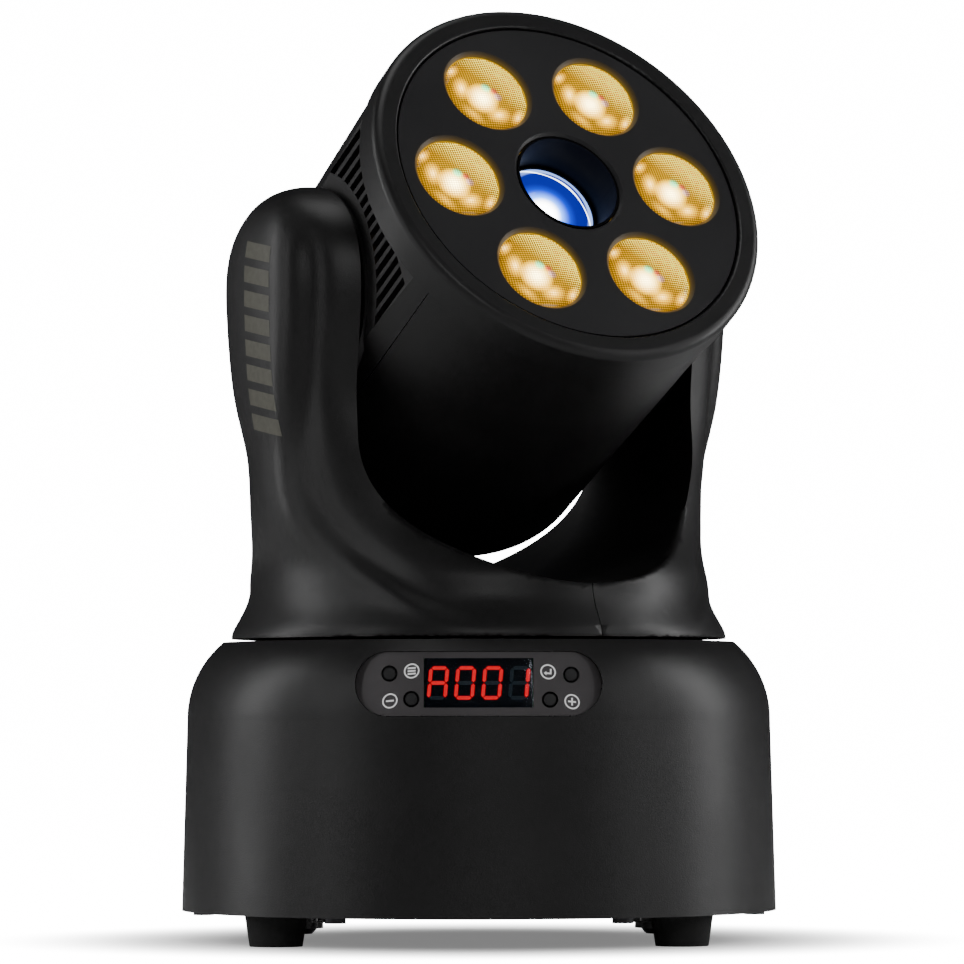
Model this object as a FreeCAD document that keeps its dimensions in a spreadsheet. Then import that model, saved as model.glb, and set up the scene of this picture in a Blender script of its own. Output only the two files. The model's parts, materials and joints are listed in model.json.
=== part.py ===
import FreeCAD, Part
import math
import os
import re
import Sketcher

# A compact stage light whose lamp head tilts in a yoke that pans on a round base.
# Lengths are in millimetres, +Z is up, and the origin is on the base's axis at the floor.
# The front of the base faces -Y.  The rest pose has the yoke panned and the head tilted.

Vector = FreeCAD.Vector

# alias, value, meaning
SIZES = [
    ("pan_rest", 28.86, "yoke turned from straight ahead, degrees"),
    ("tilt_rest", 30.57, "head raised from level, degrees"),
    ("fit_gap", 0.3, "clearance between pieces that move past each other"),
    ("running_gap", 0.05, "radial clearance of a shaft in its bearing"),
    ("seam_gap", 0.25, "visible joint between two mouldings"),
    # base housing
    ("base_foot_z", 8.9, "underside of the base above the floor"),
    ("base_low_radius", 87.3, "housing at its bottom edge"),
    ("base_wall_radius", 85.75, "housing where the shoulder starts"),
    ("shoulder_z", 64.5, "height where the shoulder starts"),
    ("deck_z", 87.4, "top of the base"),
    ("deck_radius", 75.2, "outer edge of the flat top"),
    ("shoulder_radius", 29.0, "rounding of the shoulder"),
    ("base_wall", 2.6, "housing wall"),
    ("plate_thick", 1.5, "steel bottom plate"),
    ("boss_radius", 4.0, "screw boss under the deck"),
    ("boss_height", 18.0, "screw boss length"),
    ("plate_screw_circle", 81.0, "radius of the bottom plate's screw circle"),
    ("plate_screw_radius", 1.5, "bottom plate screw shank"),
    # feet and bracket sockets
    ("foot_x", 58.0, "foot centre, sideways"),
    ("foot_y", 47.5, "foot centre, front to back"),
    ("foot_low_radius", 7.6, "foot where it stands"),
    ("foot_top_radius", 9.0, "foot against the plate"),
    ("foot_screw_radius", 2.0, "M4 shank"),
    ("socket_x", 53.5, "bracket socket centre, sideways"),
    ("socket_y", 22.0, "bracket socket centre, front to back"),
    ("socket_radius", 8.3, "bracket socket flange"),
    ("socket_bore", 4.0, "bracket socket bore radius"),
    # control panel
    ("panel_z", 74.75, "centre height of the control panel"),
    ("panel_radius", 9.15, "round end of the panel"),
    ("panel_half_run", 25.65, "half of the straight part"),
    ("panel_low_r", 85.1, "panel face radius at its lower edge"),
    ("panel_top_r", 78.3, "panel face radius at its upper edge"),
    ("panel_thick", 2.0, "panel wall"),
    ("window_half", 15.4, "display window, half width"),
    ("window_height", 13.9, "display window height"),
    ("pane_thick", 1.0, "display pane"),
    ("module_width", 30.1, "four digit display module"),
    ("module_height", 14.0, "four digit display module"),
    ("module_depth", 7.2, "four digit display module"),
    ("module_front", 75.7, "display face from the base's axis"),
    ("button_radius", 1.7, "button cap"),
    ("button_hole_radius", 2.3, "hole round a button"),
    ("button_travel", 0.6, "button stroke"),
    ("button_collar", 2.8, "collar that keeps a button in"),
    ("board_front", 66.0, "control board face from the base's axis"),
    ("board_thick", 1.6, "circuit board"),
    # rear connector tray
    ("tray_half_width", 35.8, "connector tray, half width"),
    ("tray_low_z", 12.0, "connector tray bottom"),
    ("tray_height", 52.0, "connector tray height"),
    ("tray_wall", 1.4, "connector tray wall"),
    ("tray_depth_y", 72.5, "back of the tray from the base's axis"),
    ("xlr_radius", 11.5, "round data socket"),
    ("xlr_bore", 8.6, "data socket mouth"),
    # pan drive
    ("shaft_radius", 15.0, "hollow pan shaft"),
    ("shaft_bore", 11.0, "cable way through the pan shaft"),
    ("bearing_radius", 22.0, "pan bearing, outside"),
    ("pan_pulley_radius", 27.0, "belt face of the pan pulley"),
    ("motor_pulley_radius", 4.5, "belt face of the motor pulleys"),
    ("belt_thick", 1.2, "timing belt"),
    ("belt_width", 6.0, "timing belt"),
    ("pan_belt_z", 70.0, "middle of the pan belt"),
    ("pan_motor_x", 42.0, "pan motor axis"),
    ("pan_motor_y", 22.0, "pan motor axis"),
    ("motor_side", 42.3, "pan motor body, square"),
    ("motor_length", 34.0, "pan motor body"),
    # yoke
    ("yoke_low_z", 88.3, "underside of the yoke"),
    ("yoke_low_radius", 72.75, "yoke skirt at its bottom edge"),
    ("waist_radius", 66.6, "narrowest part of the yoke"),
    ("waist_z", 106.0, "height of the waist"),
    ("arm_half_width", 76.2, "outside of the arms at the tilt axis"),
    ("arm_half_depth", 37.5, "arm at the tilt axis, front to back"),
    ("arm_rise", 32.3, "arm top above the tilt axis"),
    ("tilt_height", 187.1, "tilt axis above the floor"),
    ("gap_half_width", 55.7, "inside of the arms"),
    ("gap_depth", 83.6, "bottom of the opening below the tilt axis"),
    ("gap_round", 42.0, "height of the opening's rounded bottom"),
    ("yoke_wall", 2.4, "yoke wall"),
    ("frame_thick", 2.0, "steel frame in the yoke"),
    # tilt drive
    ("trunnion_radius", 8.0, "tilt trunnion"),
    ("trunnion_bore", 5.0, "cable way through a trunnion"),
    ("tilt_bearing_radius", 12.0, "tilt bearing, outside"),
    ("tilt_pulley_radius", 16.2, "belt face of the tilt pulley"),
    ("tilt_belt_x", -40.0, "middle of the tilt belt"),
    ("tilt_motor_back", 29.0, "tilt motor axis behind the tilt axis"),
    ("tilt_motor_side", 35.2, "tilt motor body, square"),
    ("tilt_motor_length", 30.0, "tilt motor body"),
    # head
    ("head_front", 63.95, "front of the ring from the tilt axis"),
    ("head_back", 54.0, "back of the head from the tilt axis"),
    ("barrel_front_radius", 60.6, "barrel behind the ring"),
    ("barrel_back_radius", 58.0, "barrel at the back cover"),
    ("barrel_back", 44.0, "start of the back cover behind the tilt axis"),
    ("rear_step", 1.8, "back cover's sides inside the side covers' flats, so that it swings clear"),
    ("barrel_wall", 2.4, "barrel wall"),
    ("side_half_width", 53.5, "flat sides of the head"),
    ("side_seam_angle", 34.0, "side cover half angle, degrees"),
    ("hub_radius", 32.0, "raised hub round the tilt axis"),
    ("hub_height", 1.0, "raised hub height"),
    ("vent_arc", 37.0, "arc where the vent slots stop"),
    ("vent_front", 47.0, "front end of the vent slots"),
    ("vent_pitch", 3.7, "vent slot spacing"),
    ("vent_slot", 2.3, "vent slot height"),
    ("ring_radius", 61.3, "front ring outside"),
    ("ring_depth", 11.0, "front ring front to back"),
    ("ring_inner", 54.4, "front ring mouth"),
    ("ring_round", 2.6, "front ring edge rounding"),
    ("face_radius", 53.7, "face panel"),
    ("face_inset", 0.75, "face panel behind the ring's front"),
    ("face_thick", 3.0, "face panel"),
    ("lens_circle", 35.8, "circle of the six lenses"),
    ("lens_hole", 13.0, "lens opening"),
    ("lens_lip", 1.0, "chamfer round a lens opening"),
    ("lens_inset", 2.5, "lens crown behind the face"),
    ("lens_radius", 12.8, "lens"),
    ("lens_crown", 2.2, "height of the lens dome"),
    ("lens_depth", 16.0, "lens from crown to its small end"),
    ("beam_hole", 16.4, "opening for the beam"),
    ("beam_lip", 0.8, "chamfer round the beam opening"),
    ("tube_radius", 16.1, "beam tube"),
    ("tube_wall", 0.7, "beam tube wall"),
    ("tube_back", 14.0, "back of the beam tube from the tilt axis"),
    ("beam_lens_inset", 12.5, "beam lens crown behind the face"),
    ("beam_lens_crown", 5.0, "height of the beam lens dome"),
    ("board_z", 42.4, "back of the light source board"),
    ("sink_radius", 50.0, "heat sink"),
    ("sink_fin_length", 20.0, "heat sink fins"),
    ("gobo_radius", 25.0, "gobo wheel"),
    ("gobo_offset", 19.5, "gobo wheel axis below the beam axis"),
    ("gobo_z", 8.0, "gobo wheel in front of the tilt axis"),
    ("fan_side", 40.0, "cooling fan frame"),
    ("fan_x", 23.0, "cooling fan axis"),
    ("fan_radius", 17.6, "fan blades"),
]

doc = FreeCAD.newDocument("MovingHeadLight")
sheet = doc.addObject("Spreadsheet::Sheet", "Sizes")
for row, (alias, value, meaning) in enumerate(SIZES, start=1):
    sheet.set(f"A{row}", alias)
    sheet.set(f"B{row}", str(value))
    sheet.setAlias(f"B{row}", alias)
    sheet.set(f"C{row}", meaning)
doc.recompute()

ALIASES = {alias for alias, value, meaning in SIZES}
YOKE = "placement(vector(0; 0; 0); rotation(Sizes.pan_rest; 0; 0))"
HEAD = "placement(vector(0; 0; Sizes.tilt_height); rotation(Sizes.pan_rest; 0; 90 - Sizes.tilt_rest))"
PIECES = []


def bound(text):
    """Write an expression over the sheet's aliases in the form the document uses."""
    return re.sub(r"[a-z][a-z_]+", lambda w: "Sizes." + w[0] if w[0] in ALIASES else w[0], str(text))


def size(text):
    """Value of an expression over the sheet."""
    return float(sheet.evalExpression(bound(text)))


def piece(obj, node, frame=None):
    """Register a finished sub-part under its node name, placed in the yoke's or the head's frame."""
    obj.Label = node
    if frame and obj.TypeId != "Part::Feature":
        obj.setExpression("Placement", frame)
    elif frame:
        obj.Placement = sheet.evalExpression(frame)
    PIECES.append(obj)
    return obj


def primitive(kind, name, sizes, spot, turn=None):
    """A Part primitive with its sizes and its place bound to the sheet."""
    obj = doc.addObject(kind, name)
    for prop, text in sizes.items():
        obj.setExpression(prop, bound(text))
    if turn:
        obj.Placement = FreeCAD.Placement(Vector(), FreeCAD.Rotation(*turn))
    for axis, text in zip("xyz", spot):
        obj.setExpression(f"Placement.Base.{axis}", bound(text))
    return obj


TURNS = {"Z": None, "X": (Vector(0, 1, 0), 90), "Y": (Vector(1, 0, 0), -90)}


def rod(name, radius, length, spot=(0, 0, 0), along="Z"):
    """A cylinder that starts at spot."""
    return primitive("Part::Cylinder", name, {"Radius": radius, "Height": length}, spot, TURNS[along])


def cone(name, radius_1, radius_2, length, spot=(0, 0, 0), angle=360, start=0):
    """A cone along Z, or a slice of one that starts at an angle."""
    sizes = {"Radius1": radius_1, "Radius2": radius_2, "Height": length, "Angle": angle}
    return primitive("Part::Cone", name, sizes, spot, (Vector(0, 0, 1), size(start)) if start else None)


def block(name, width, depth, height, spot=(0, 0, 0)):
    """A box centred on spot in X and Y, standing on spot in Z."""
    x, y, z = spot
    spot = (f"({x}) - ({width}) / 2", f"({y}) - ({depth}) / 2", z)
    return primitive("Part::Box", name, {"Length": width, "Width": depth, "Height": height}, spot)


def fuse(name, *parts):
    joined = doc.addObject("Part::MultiFuse", name)
    joined.Shapes = list(parts)
    return joined


def cut(name, base, *tools):
    result = doc.addObject("Part::Cut", name)
    result.Base = base
    result.Tool = tools[0] if len(tools) == 1 else fuse(name + "_tools", *tools)
    return result


def common(name, one, other):
    result = doc.addObject("Part::Common", name)
    result.Base = one
    result.Tool = other
    return result


def solid(name, shape):
    """A free-form solid that no primitive or sketch gives."""
    obj = doc.addObject("Part::Feature", name)
    obj.Shape = shape
    return obj


def origin_plane(body, role):
    return [p for p in body.Origin.OriginFeatures if p.Role == role][0]


def outline(body, name, role, steps):
    """A closed sketch through the steps.  A step is (across, up), or (across, up, radius, side)
    where an arc of that radius leads to the next step: side 1 bulges left of travel, -1 right."""
    sketch = body.newObject("Sketcher::SketchObject", name)
    sketch.AttachmentSupport = (origin_plane(body, role), [""])
    sketch.MapMode = "FlatFace"
    spots = [Vector(size(step[0]), size(step[1]), 0) for step in steps]
    ends = []
    for number, step in enumerate(steps):
        start = spots[number]
        finish = spots[(number + 1) % len(steps)]
        if len(step) == 2:
            sketch.addGeometry(Part.LineSegment(start, finish))
            ends.append((1, 2))
            continue
        radius = size(step[2])
        chord = finish - start
        left = Vector(-chord.y, chord.x, 0).normalize()
        drop = math.sqrt(radius**2 - (chord.Length / 2)**2)
        centre = (start + finish) * 0.5 - left * drop * step[3]
        first, last = (finish, start) if step[3] > 0 else (start, finish)
        angles = [math.atan2(p.y - centre.y, p.x - centre.x) for p in (first, last)]
        circle = Part.Circle(centre, Vector(0, 0, 1), radius)
        sketch.addGeometry(Part.ArcOfCircle(circle, *angles))
        ends.append((2, 1) if step[3] > 0 else (1, 2))
    for number, step in enumerate(steps):
        after = (number + 1) % len(steps)
        join = (number, ends[number][1], after, ends[after][0])
        sketch.addConstraint(Sketcher.Constraint("Coincident", *join))
    for number, step in enumerate(steps):
        for kind, axis, text, value in (("DistanceX", -2, step[0], spots[number].x),
                                        ("DistanceY", -1, step[1], spots[number].y)):
            if abs(value) < 1e-9:
                sketch.addConstraint(Sketcher.Constraint("PointOnObject", number, ends[number][0], axis))
                continue
            made = sketch.addConstraint(Sketcher.Constraint(kind, -1, 1, number, ends[number][0], value))
            sketch.renameConstraint(made, f"{kind[-1].lower()}_{number}")
            sketch.setExpression(f"Constraints.{kind[-1].lower()}_{number}", bound(text))
        if len(step) > 2:
            made = sketch.addConstraint(Sketcher.Constraint("Radius", number, size(step[2])))
            sketch.renameConstraint(made, f"radius_{number}")
            sketch.setExpression(f"Constraints.radius_{number}", bound(step[2]))
    return sketch


def turned(name, steps):
    """A body turned about Z from a profile of (radius, height) steps."""
    body = doc.addObject("PartDesign::Body", name)
    sketch = outline(body, name + "_profile", "XZ_Plane", steps)
    turn = body.newObject("PartDesign::Revolution", name + "_turn")
    turn.Profile = sketch
    turn.ReferenceAxis = (sketch, ["V_Axis"])
    turn.Angle = 360
    body.Tip = turn
    return body


def padded(name, role, steps, length, spot=None):
    """A body padded from a sketch on one of its origin planes."""
    body = doc.addObject("PartDesign::Body", name)
    sketch = outline(body, name + "_profile", role, steps)
    pad = body.newObject("PartDesign::Pad", name + "_pad")
    pad.Profile = sketch
    pad.setExpression("Length", bound(length))
    body.Tip = pad
    if spot:
        for axis, text in zip("xyz", spot):
            body.setExpression(f"Placement.Base.{axis}", bound(text))
    return body


def corners(x, y):
    """The four corners of a rectangle about the Z axis."""
    return [(f"{a} * {x}", f"{b} * {y}") for a, b in ((-1, -1), (1, -1), (1, 1), (-1, 1))]


def on_circle(radius, count, start=0):
    """Spots spread evenly round a circle about the Z axis, as expressions."""
    angles = [start + 360 * k / count for k in range(count)]
    return [(f"{radius} * cos({a})", f"{radius} * sin({a})") for a in angles]


def stadium(name, half_run, radius, height, depth, start):
    """A slot-shaped prism along Y with round ends left and right."""
    middle = block(name + "_middle", f"2 * ({half_run})", depth, f"2 * ({radius})",
                   (0, f"{start} + ({depth}) / 2", f"{height} - ({radius})"))
    ends = [rod(f"{name}_end_{side}", radius, depth, (f"{sign} * ({half_run})", start, height), "Y")
            for side, sign in (("left", -1), ("right", 1))]
    return fuse(name, middle, *ends)


def belt_loop(reach, radius_a, radius_b, width):
    """A solid bounded by a belt round a pulley at the origin and one at (reach, 0)."""
    lean = math.acos((radius_a - radius_b) / reach)
    up = Vector(math.cos(lean), math.sin(lean), 0)
    down = Vector(up.x, -up.y, 0)
    near = Vector(0, 0, -width / 2)
    far = Vector(reach, 0, -width / 2)
    edges = [
        Part.makeLine(near + up * radius_a, far + up * radius_b),
        Part.Arc(far + up * radius_b, far + Vector(radius_b, 0, 0), far + down * radius_b).toShape(),
        Part.makeLine(far + down * radius_b, near + down * radius_a),
        Part.Arc(near + down * radius_a, near - Vector(radius_a, 0, 0), near + up * radius_a).toShape(),
    ]
    return Part.Face(Part.Wire(edges)).extrude(Vector(0, 0, width))


def belt(name, reach, radius_a, radius_b):
    """A closed belt that clears both pulleys, lying about the XY plane."""
    gap = size("fit_gap")
    thick = size("belt_thick")
    width = size("belt_width")
    outer = belt_loop(reach, radius_a + gap + thick, radius_b + gap + thick, width)
    inner = belt_loop(reach, radius_a + gap, radius_b + gap, width)
    return solid(name, outer.cut(inner))


# ---------------------------------------------------------------- base housing
def base_housing():
    wall = "base_wall"
    shell = turned("base_blank", [
        ("base_low_radius", "base_foot_z"),
        ("base_wall_radius", "shoulder_z", "shoulder_radius", -1),
        ("deck_radius", "deck_z"),
        ("bearing_radius", "deck_z"),
        ("bearing_radius", f"deck_z - {wall}"),
        (f"deck_radius - {wall} * 0.45", f"deck_z - {wall}", f"shoulder_radius - {wall}", 1),
        (f"base_wall_radius - {wall}", "shoulder_z"),
        (f"base_low_radius - {wall}", "base_foot_z"),
    ])
    floor = "base_foot_z + plate_thick"
    bosses = []
    holes = []
    for number, (x, y) in enumerate(on_circle("plate_screw_circle", 6)):
        bosses.append(rod(f"boss_{number}", "boss_radius", "boss_height", (x, y, floor)))
        holes.append(rod(f"boss_hole_{number}", "plate_screw_radius", "boss_height", (x, y, floor)))
    mouth = stadium("panel_opening", "panel_half_run", "panel_radius", "panel_z", 40, -95)
    back = block("tray_opening", "2 * (tray_half_width - tray_wall)", 30, "tray_height - 2 * tray_wall",
                 (0, "base_wall_radius - 3", "tray_low_z + tray_wall"))
    piece(cut("base_shell", fuse("base_with_bosses", shell, *bosses), mouth, back, *holes), "base_shell")


def bottom_plate():
    plate = padded("plate_blank", "XY_Plane", octagon("base_low_radius - base_wall - fit_gap"),
                   "plate_thick", (0, 0, "base_foot_z"))
    tools = []
    for number, (x, y) in enumerate(on_circle("plate_screw_circle", 6)):
        tools.append(rod(f"plate_hole_{number}", "plate_screw_radius + 0.1", 6, (x, y, "base_foot_z - 1")))
    for number, (x, y) in enumerate(corners("foot_x", "foot_y")):
        tools.append(rod(f"foot_hole_{number}", "foot_screw_radius + 0.1", 6, (x, y, "base_foot_z - 1")))
    for number, (x, y) in enumerate(corners("socket_x", "socket_y")):
        tools.append(rod(f"socket_hole_{number}", "socket_bore", 6, (x, y, "base_foot_z - 1")))
    for number in range(-4, 5):
        tools.append(block(f"plate_vent_{number}", 3, 44, 6, (f"{number} * 7", 0, "base_foot_z - 1")))
    piece(cut("base_plate", plate, *tools), "base_plate")


def octagon(radius):
    """A round outline of eight equal arcs."""
    steps = []
    for number in range(8):
        angle = -45 * number
        steps.append((f"({radius}) * cos({angle})", f"({radius}) * sin({angle})", radius, 1))
    return steps


def feet():
    rubbers = []
    screws = []
    for number, (x, y) in enumerate(corners("foot_x", "foot_y")):
        rubber = cone(f"foot_body_{number}", "foot_low_radius", "foot_top_radius", "base_foot_z", (x, y, 0))
        well = rod(f"foot_well_{number}", "foot_screw_radius * 2.1", 4.5, (x, y, 0))
        bore = rod(f"foot_bore_{number}", "foot_screw_radius", "base_foot_z", (x, y, 0))
        rubbers.append(cut(f"foot_{number}", rubber, well, bore))
        head = rod(f"foot_screw_head_{number}", "foot_screw_radius * 1.8", 2.4, (x, y, 2.1))
        shank = rod(f"foot_screw_shank_{number}", "foot_screw_radius", 12, (x, y, 4.5))
        screws.append(fuse(f"foot_screw_{number}", head, shank))
    piece(fuse("rubber_feet", *rubbers), "rubber_feet")
    piece(fuse("foot_screws", *screws), "foot_screws")
    plate_screws = []
    for number, (x, y) in enumerate(on_circle("plate_screw_circle", 6)):
        head = rod(f"plate_screw_head_{number}", "plate_screw_radius * 2", 1.6, (x, y, "base_foot_z - 1.6"))
        shank = rod(f"plate_screw_shank_{number}", "plate_screw_radius", 12, (x, y, "base_foot_z"))
        plate_screws.append(fuse(f"plate_screw_{number}", head, shank))
    piece(fuse("plate_screws", *plate_screws), "plate_screws")


def bracket_sockets():
    sockets = []
    for number, (x, y) in enumerate(corners("socket_x", "socket_y")):
        neck = rod(f"socket_neck_{number}", "socket_radius * 0.8", 2.9, (x, y, "base_foot_z - 2.9"))
        flange = rod(f"socket_flange_{number}", "socket_radius", 1.8, (x, y, "base_foot_z - 4.6"))
        hub = cone(f"socket_hub_{number}", "socket_radius * 0.66", "socket_radius * 0.8", 1.4,
                   (x, y, "base_foot_z - 5.9"))
        bore = rod(f"socket_bore_{number}", "socket_bore", 10, (x, y, 0))
        sockets.append(cut(f"socket_{number}", fuse(f"socket_body_{number}", neck, flange, hub), bore))
    piece(fuse("bracket_sockets", *sockets), "bracket_sockets")


# ---------------------------------------------------------------- control panel
# name, x, height above the panel's centre
BUTTONS = [
    ("menu", -25.1, 2.9),
    ("minus", -18.9, -4.3),
    ("enter", 26.0, 2.5),
    ("plus", 20.0, -4.5),
]


def panel_cone(name, inset):
    """The panel's face as a cone that leans back with the shoulder, set in by an amount."""
    low = "panel_z - panel_radius"
    return cone(name, f"panel_low_r - ({inset})", f"panel_top_r - ({inset})", "2 * panel_radius", (0, 0, low))


def panel_face_radius(height):
    return f"(panel_low_r + (panel_top_r - panel_low_r) * (({height}) + panel_radius) / (2 * panel_radius))"


def control_panel():
    gap = "seam_gap / 2"
    skin = cut("panel_skin", panel_cone("panel_outside", 0), panel_cone("panel_inside", "panel_thick"))
    form = stadium("panel_form", "panel_half_run", f"panel_radius - {gap}", "panel_z", 40, -95)
    blank = common("panel_blank", skin, form)
    opening = block("window_opening", "2 * window_half", 40, "window_height",
                    (0, -75, "panel_z - window_height / 2 + 0.25"))
    holes = [rod(f"button_hole_{name}", "button_hole_radius", 40, (x, -95, f"panel_z + {up}"), "Y")
             for name, x, up in BUTTONS]
    piece(cut("control_panel", blank, opening, *holes), "control_panel")
    pane_skin = cut("pane_skin", panel_cone("pane_outside", "0.1"), panel_cone("pane_inside", "pane_thick"))
    pane_form = block("pane_form", "2 * window_half - 0.1", 40, "window_height - 0.1",
                      (0, -75, "panel_z - window_height / 2 + 0.3"))
    piece(common("display_window", pane_skin, pane_form), "display_window")
    low = "panel_z - module_height / 2 + 0.25"
    body = block("module_body", "module_width", "module_depth", "module_height",
                 (0, "-module_front + module_depth / 2", low))
    pins = block("module_pins", "module_width * 0.85", "module_front - module_depth - board_front",
                 "module_height * 0.8",
                 (0, "-(module_front - module_depth + board_front) / 2", f"{low} + 1.4"))
    piece(fuse("display_module", body, pins), "display_module")
    rear = "-(board_front + 4.4)"
    switches = []
    for name, x, up in BUTTONS:
        height = f"panel_z + {up}"
        tip = f"-sqrt({panel_face_radius(up)}^2 - {x}^2) + 0.5"
        cap = rod(f"cap_{name}", "button_radius", f"{rear} - ({tip})", (x, tip, height), "Y")
        collar = rod(f"collar_{name}", "button_collar", 0.9, (x, f"{rear} - 0.9", height), "Y")
        piece(fuse(f"button_{name}", cap, collar), f"button_{name}")
        switches.append(block(f"switch_{name}", 6, 3.4, 6, (x, "-(board_front + 1.7)", f"{height} - 3")))
    board = block("board_blank", 62, "board_thick", "2 * panel_radius - 2",
                  (0, "-board_front + board_thick / 2", "panel_z - panel_radius + 1"))
    piece(fuse("control_board", board, *switches), "control_board")


# ---------------------------------------------------------------- base electrics
def rear_tray():
    depth = "base_wall_radius - tray_depth_y + 4"
    middle = f"tray_depth_y + ({depth}) / 2"
    outer = block("tray_outer", "2 * tray_half_width", depth, "tray_height", (0, middle, "tray_low_z"))
    inner = block("tray_inner", "2 * (tray_half_width - tray_wall)", depth, "tray_height - 2 * tray_wall",
                  (0, f"{middle} + tray_wall", "tray_low_z + tray_wall"))
    inside = cone("tray_limit", "base_low_radius - base_wall - 0.2", "base_wall_radius - base_wall - 0.2",
                  "shoulder_z - base_foot_z", (0, 0, "base_foot_z"))
    tray = common("tray_trimmed", cut("tray_box", outer, inner), inside)
    front = "tray_depth_y + tray_wall"
    upper = "tray_low_z + tray_height - tray_wall - xlr_radius - 1.6"
    lower = "tray_low_z + tray_wall + 13"
    tools = []
    for name, x in (("data_in", -18), ("data_out", 18)):
        tools.append(rod(f"{name}_cutout", "xlr_radius - 1", 10, (x, "tray_depth_y - 4", upper), "Y"))
        body = rod(f"{name}_body", "xlr_radius - 1", 22, (x, f"{front} - 22", upper), "Y")
        rim = rod(f"{name}_rim", "xlr_radius", 2, (x, front, upper), "Y")
        mouth = rod(f"{name}_mouth", "xlr_bore", 15, (x, f"{front} - 11", upper), "Y")
        socket = cut(f"{name}_shell", fuse(f"{name}_solid", body, rim), mouth)
        pins = [rod(f"{name}_pin_{k}", 1.2, 9,
                    (f"{x} + 3.6 * cos({a})", f"{front} - 12", f"{upper} + 3.6 * sin({a})"), "Y")
                for k, a in enumerate((90, 210, 330))]
        piece(fuse(f"{name}_socket", socket, *pins), f"{name}_socket")
    tools.append(block("inlet_cutout", 27, 10, 20, (-8, "tray_depth_y", f"{lower} - 10")))
    flange = block("inlet_flange", 31, 2, 23, (-8, f"{front} + 1", f"{lower} - 11.5"))
    body = block("inlet_body", 27, 20, 20, (-8, f"{front} - 10", f"{lower} - 10"))
    cavity = block("inlet_cavity", 24.4, 18, 16.4, (-8, f"{front} - 6", f"{lower} - 8.2"))
    blades = [block(f"inlet_blade_{k}", 2, 13, 4, (f"-8 + {x}", f"{front} - 9", f"{lower} + {z} - 2"))
              for k, (x, z) in enumerate(((-7, -1), (0, 2), (7, -1)))]
    inlet = cut("inlet_shell", fuse("inlet_solid", flange, body), cavity)
    piece(fuse("mains_inlet", inlet, *blades), "mains_inlet")
    tools.append(rod("fuse_cutout", 6, 10, (22, "tray_depth_y - 4", lower), "Y"))
    fuse_body = rod("fuse_body", 6, 20, (22, f"{front} - 20", lower), "Y")
    fuse_cap = rod("fuse_cap", 7.5, 3, (22, front, lower), "Y")
    slot = block("fuse_slot", 9, 2, 1.4, (22, f"{front} + 3", f"{lower} - 0.7"))
    piece(cut("fuse_holder", fuse("fuse_solid", fuse_body, fuse_cap), slot), "fuse_holder")
    piece(cut("rear_panel", tray, *tools), "rear_panel")


def base_electrics():
    floor = "base_foot_z + plate_thick"
    can = block("supply_can", 72, 46, 30, (-22, -20, f"{floor} + 3"))
    feet_ = [block(f"supply_foot_{k}", 8, 8, 3, (x, y, floor)) for k, (x, y) in
             enumerate(((-52, -37), (8, -37), (-52, -3), (8, -3)))]
    terminal = block("supply_terminal", 30, 8, 9, (-22, -20, f"{floor} + 33"))
    piece(fuse("power_supply", can, *feet_, terminal), "power_supply")
    board = block("main_board_blank", 40, 36, "board_thick", (-46, 24, f"{floor} + 6"))
    posts = [rod(f"main_post_{k}", 2.5, 6, (x, y, floor)) for k, (x, y) in
             enumerate(((-62, 10), (-30, 10), (-62, 38), (-30, 38)))]
    chips = [block(f"main_chip_{k}", w, d, t, (x, y, f"{floor} + 6 + board_thick")) for k, (x, y, w, d, t) in
             enumerate(((-46, 24, 14, 14, 2), (-58, 36, 8, 10, 9), (-34, 36, 8, 10, 9), (-46, 10, 22, 7, 8)))]
    piece(fuse("main_board", board, *posts, *chips), "main_board")


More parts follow.
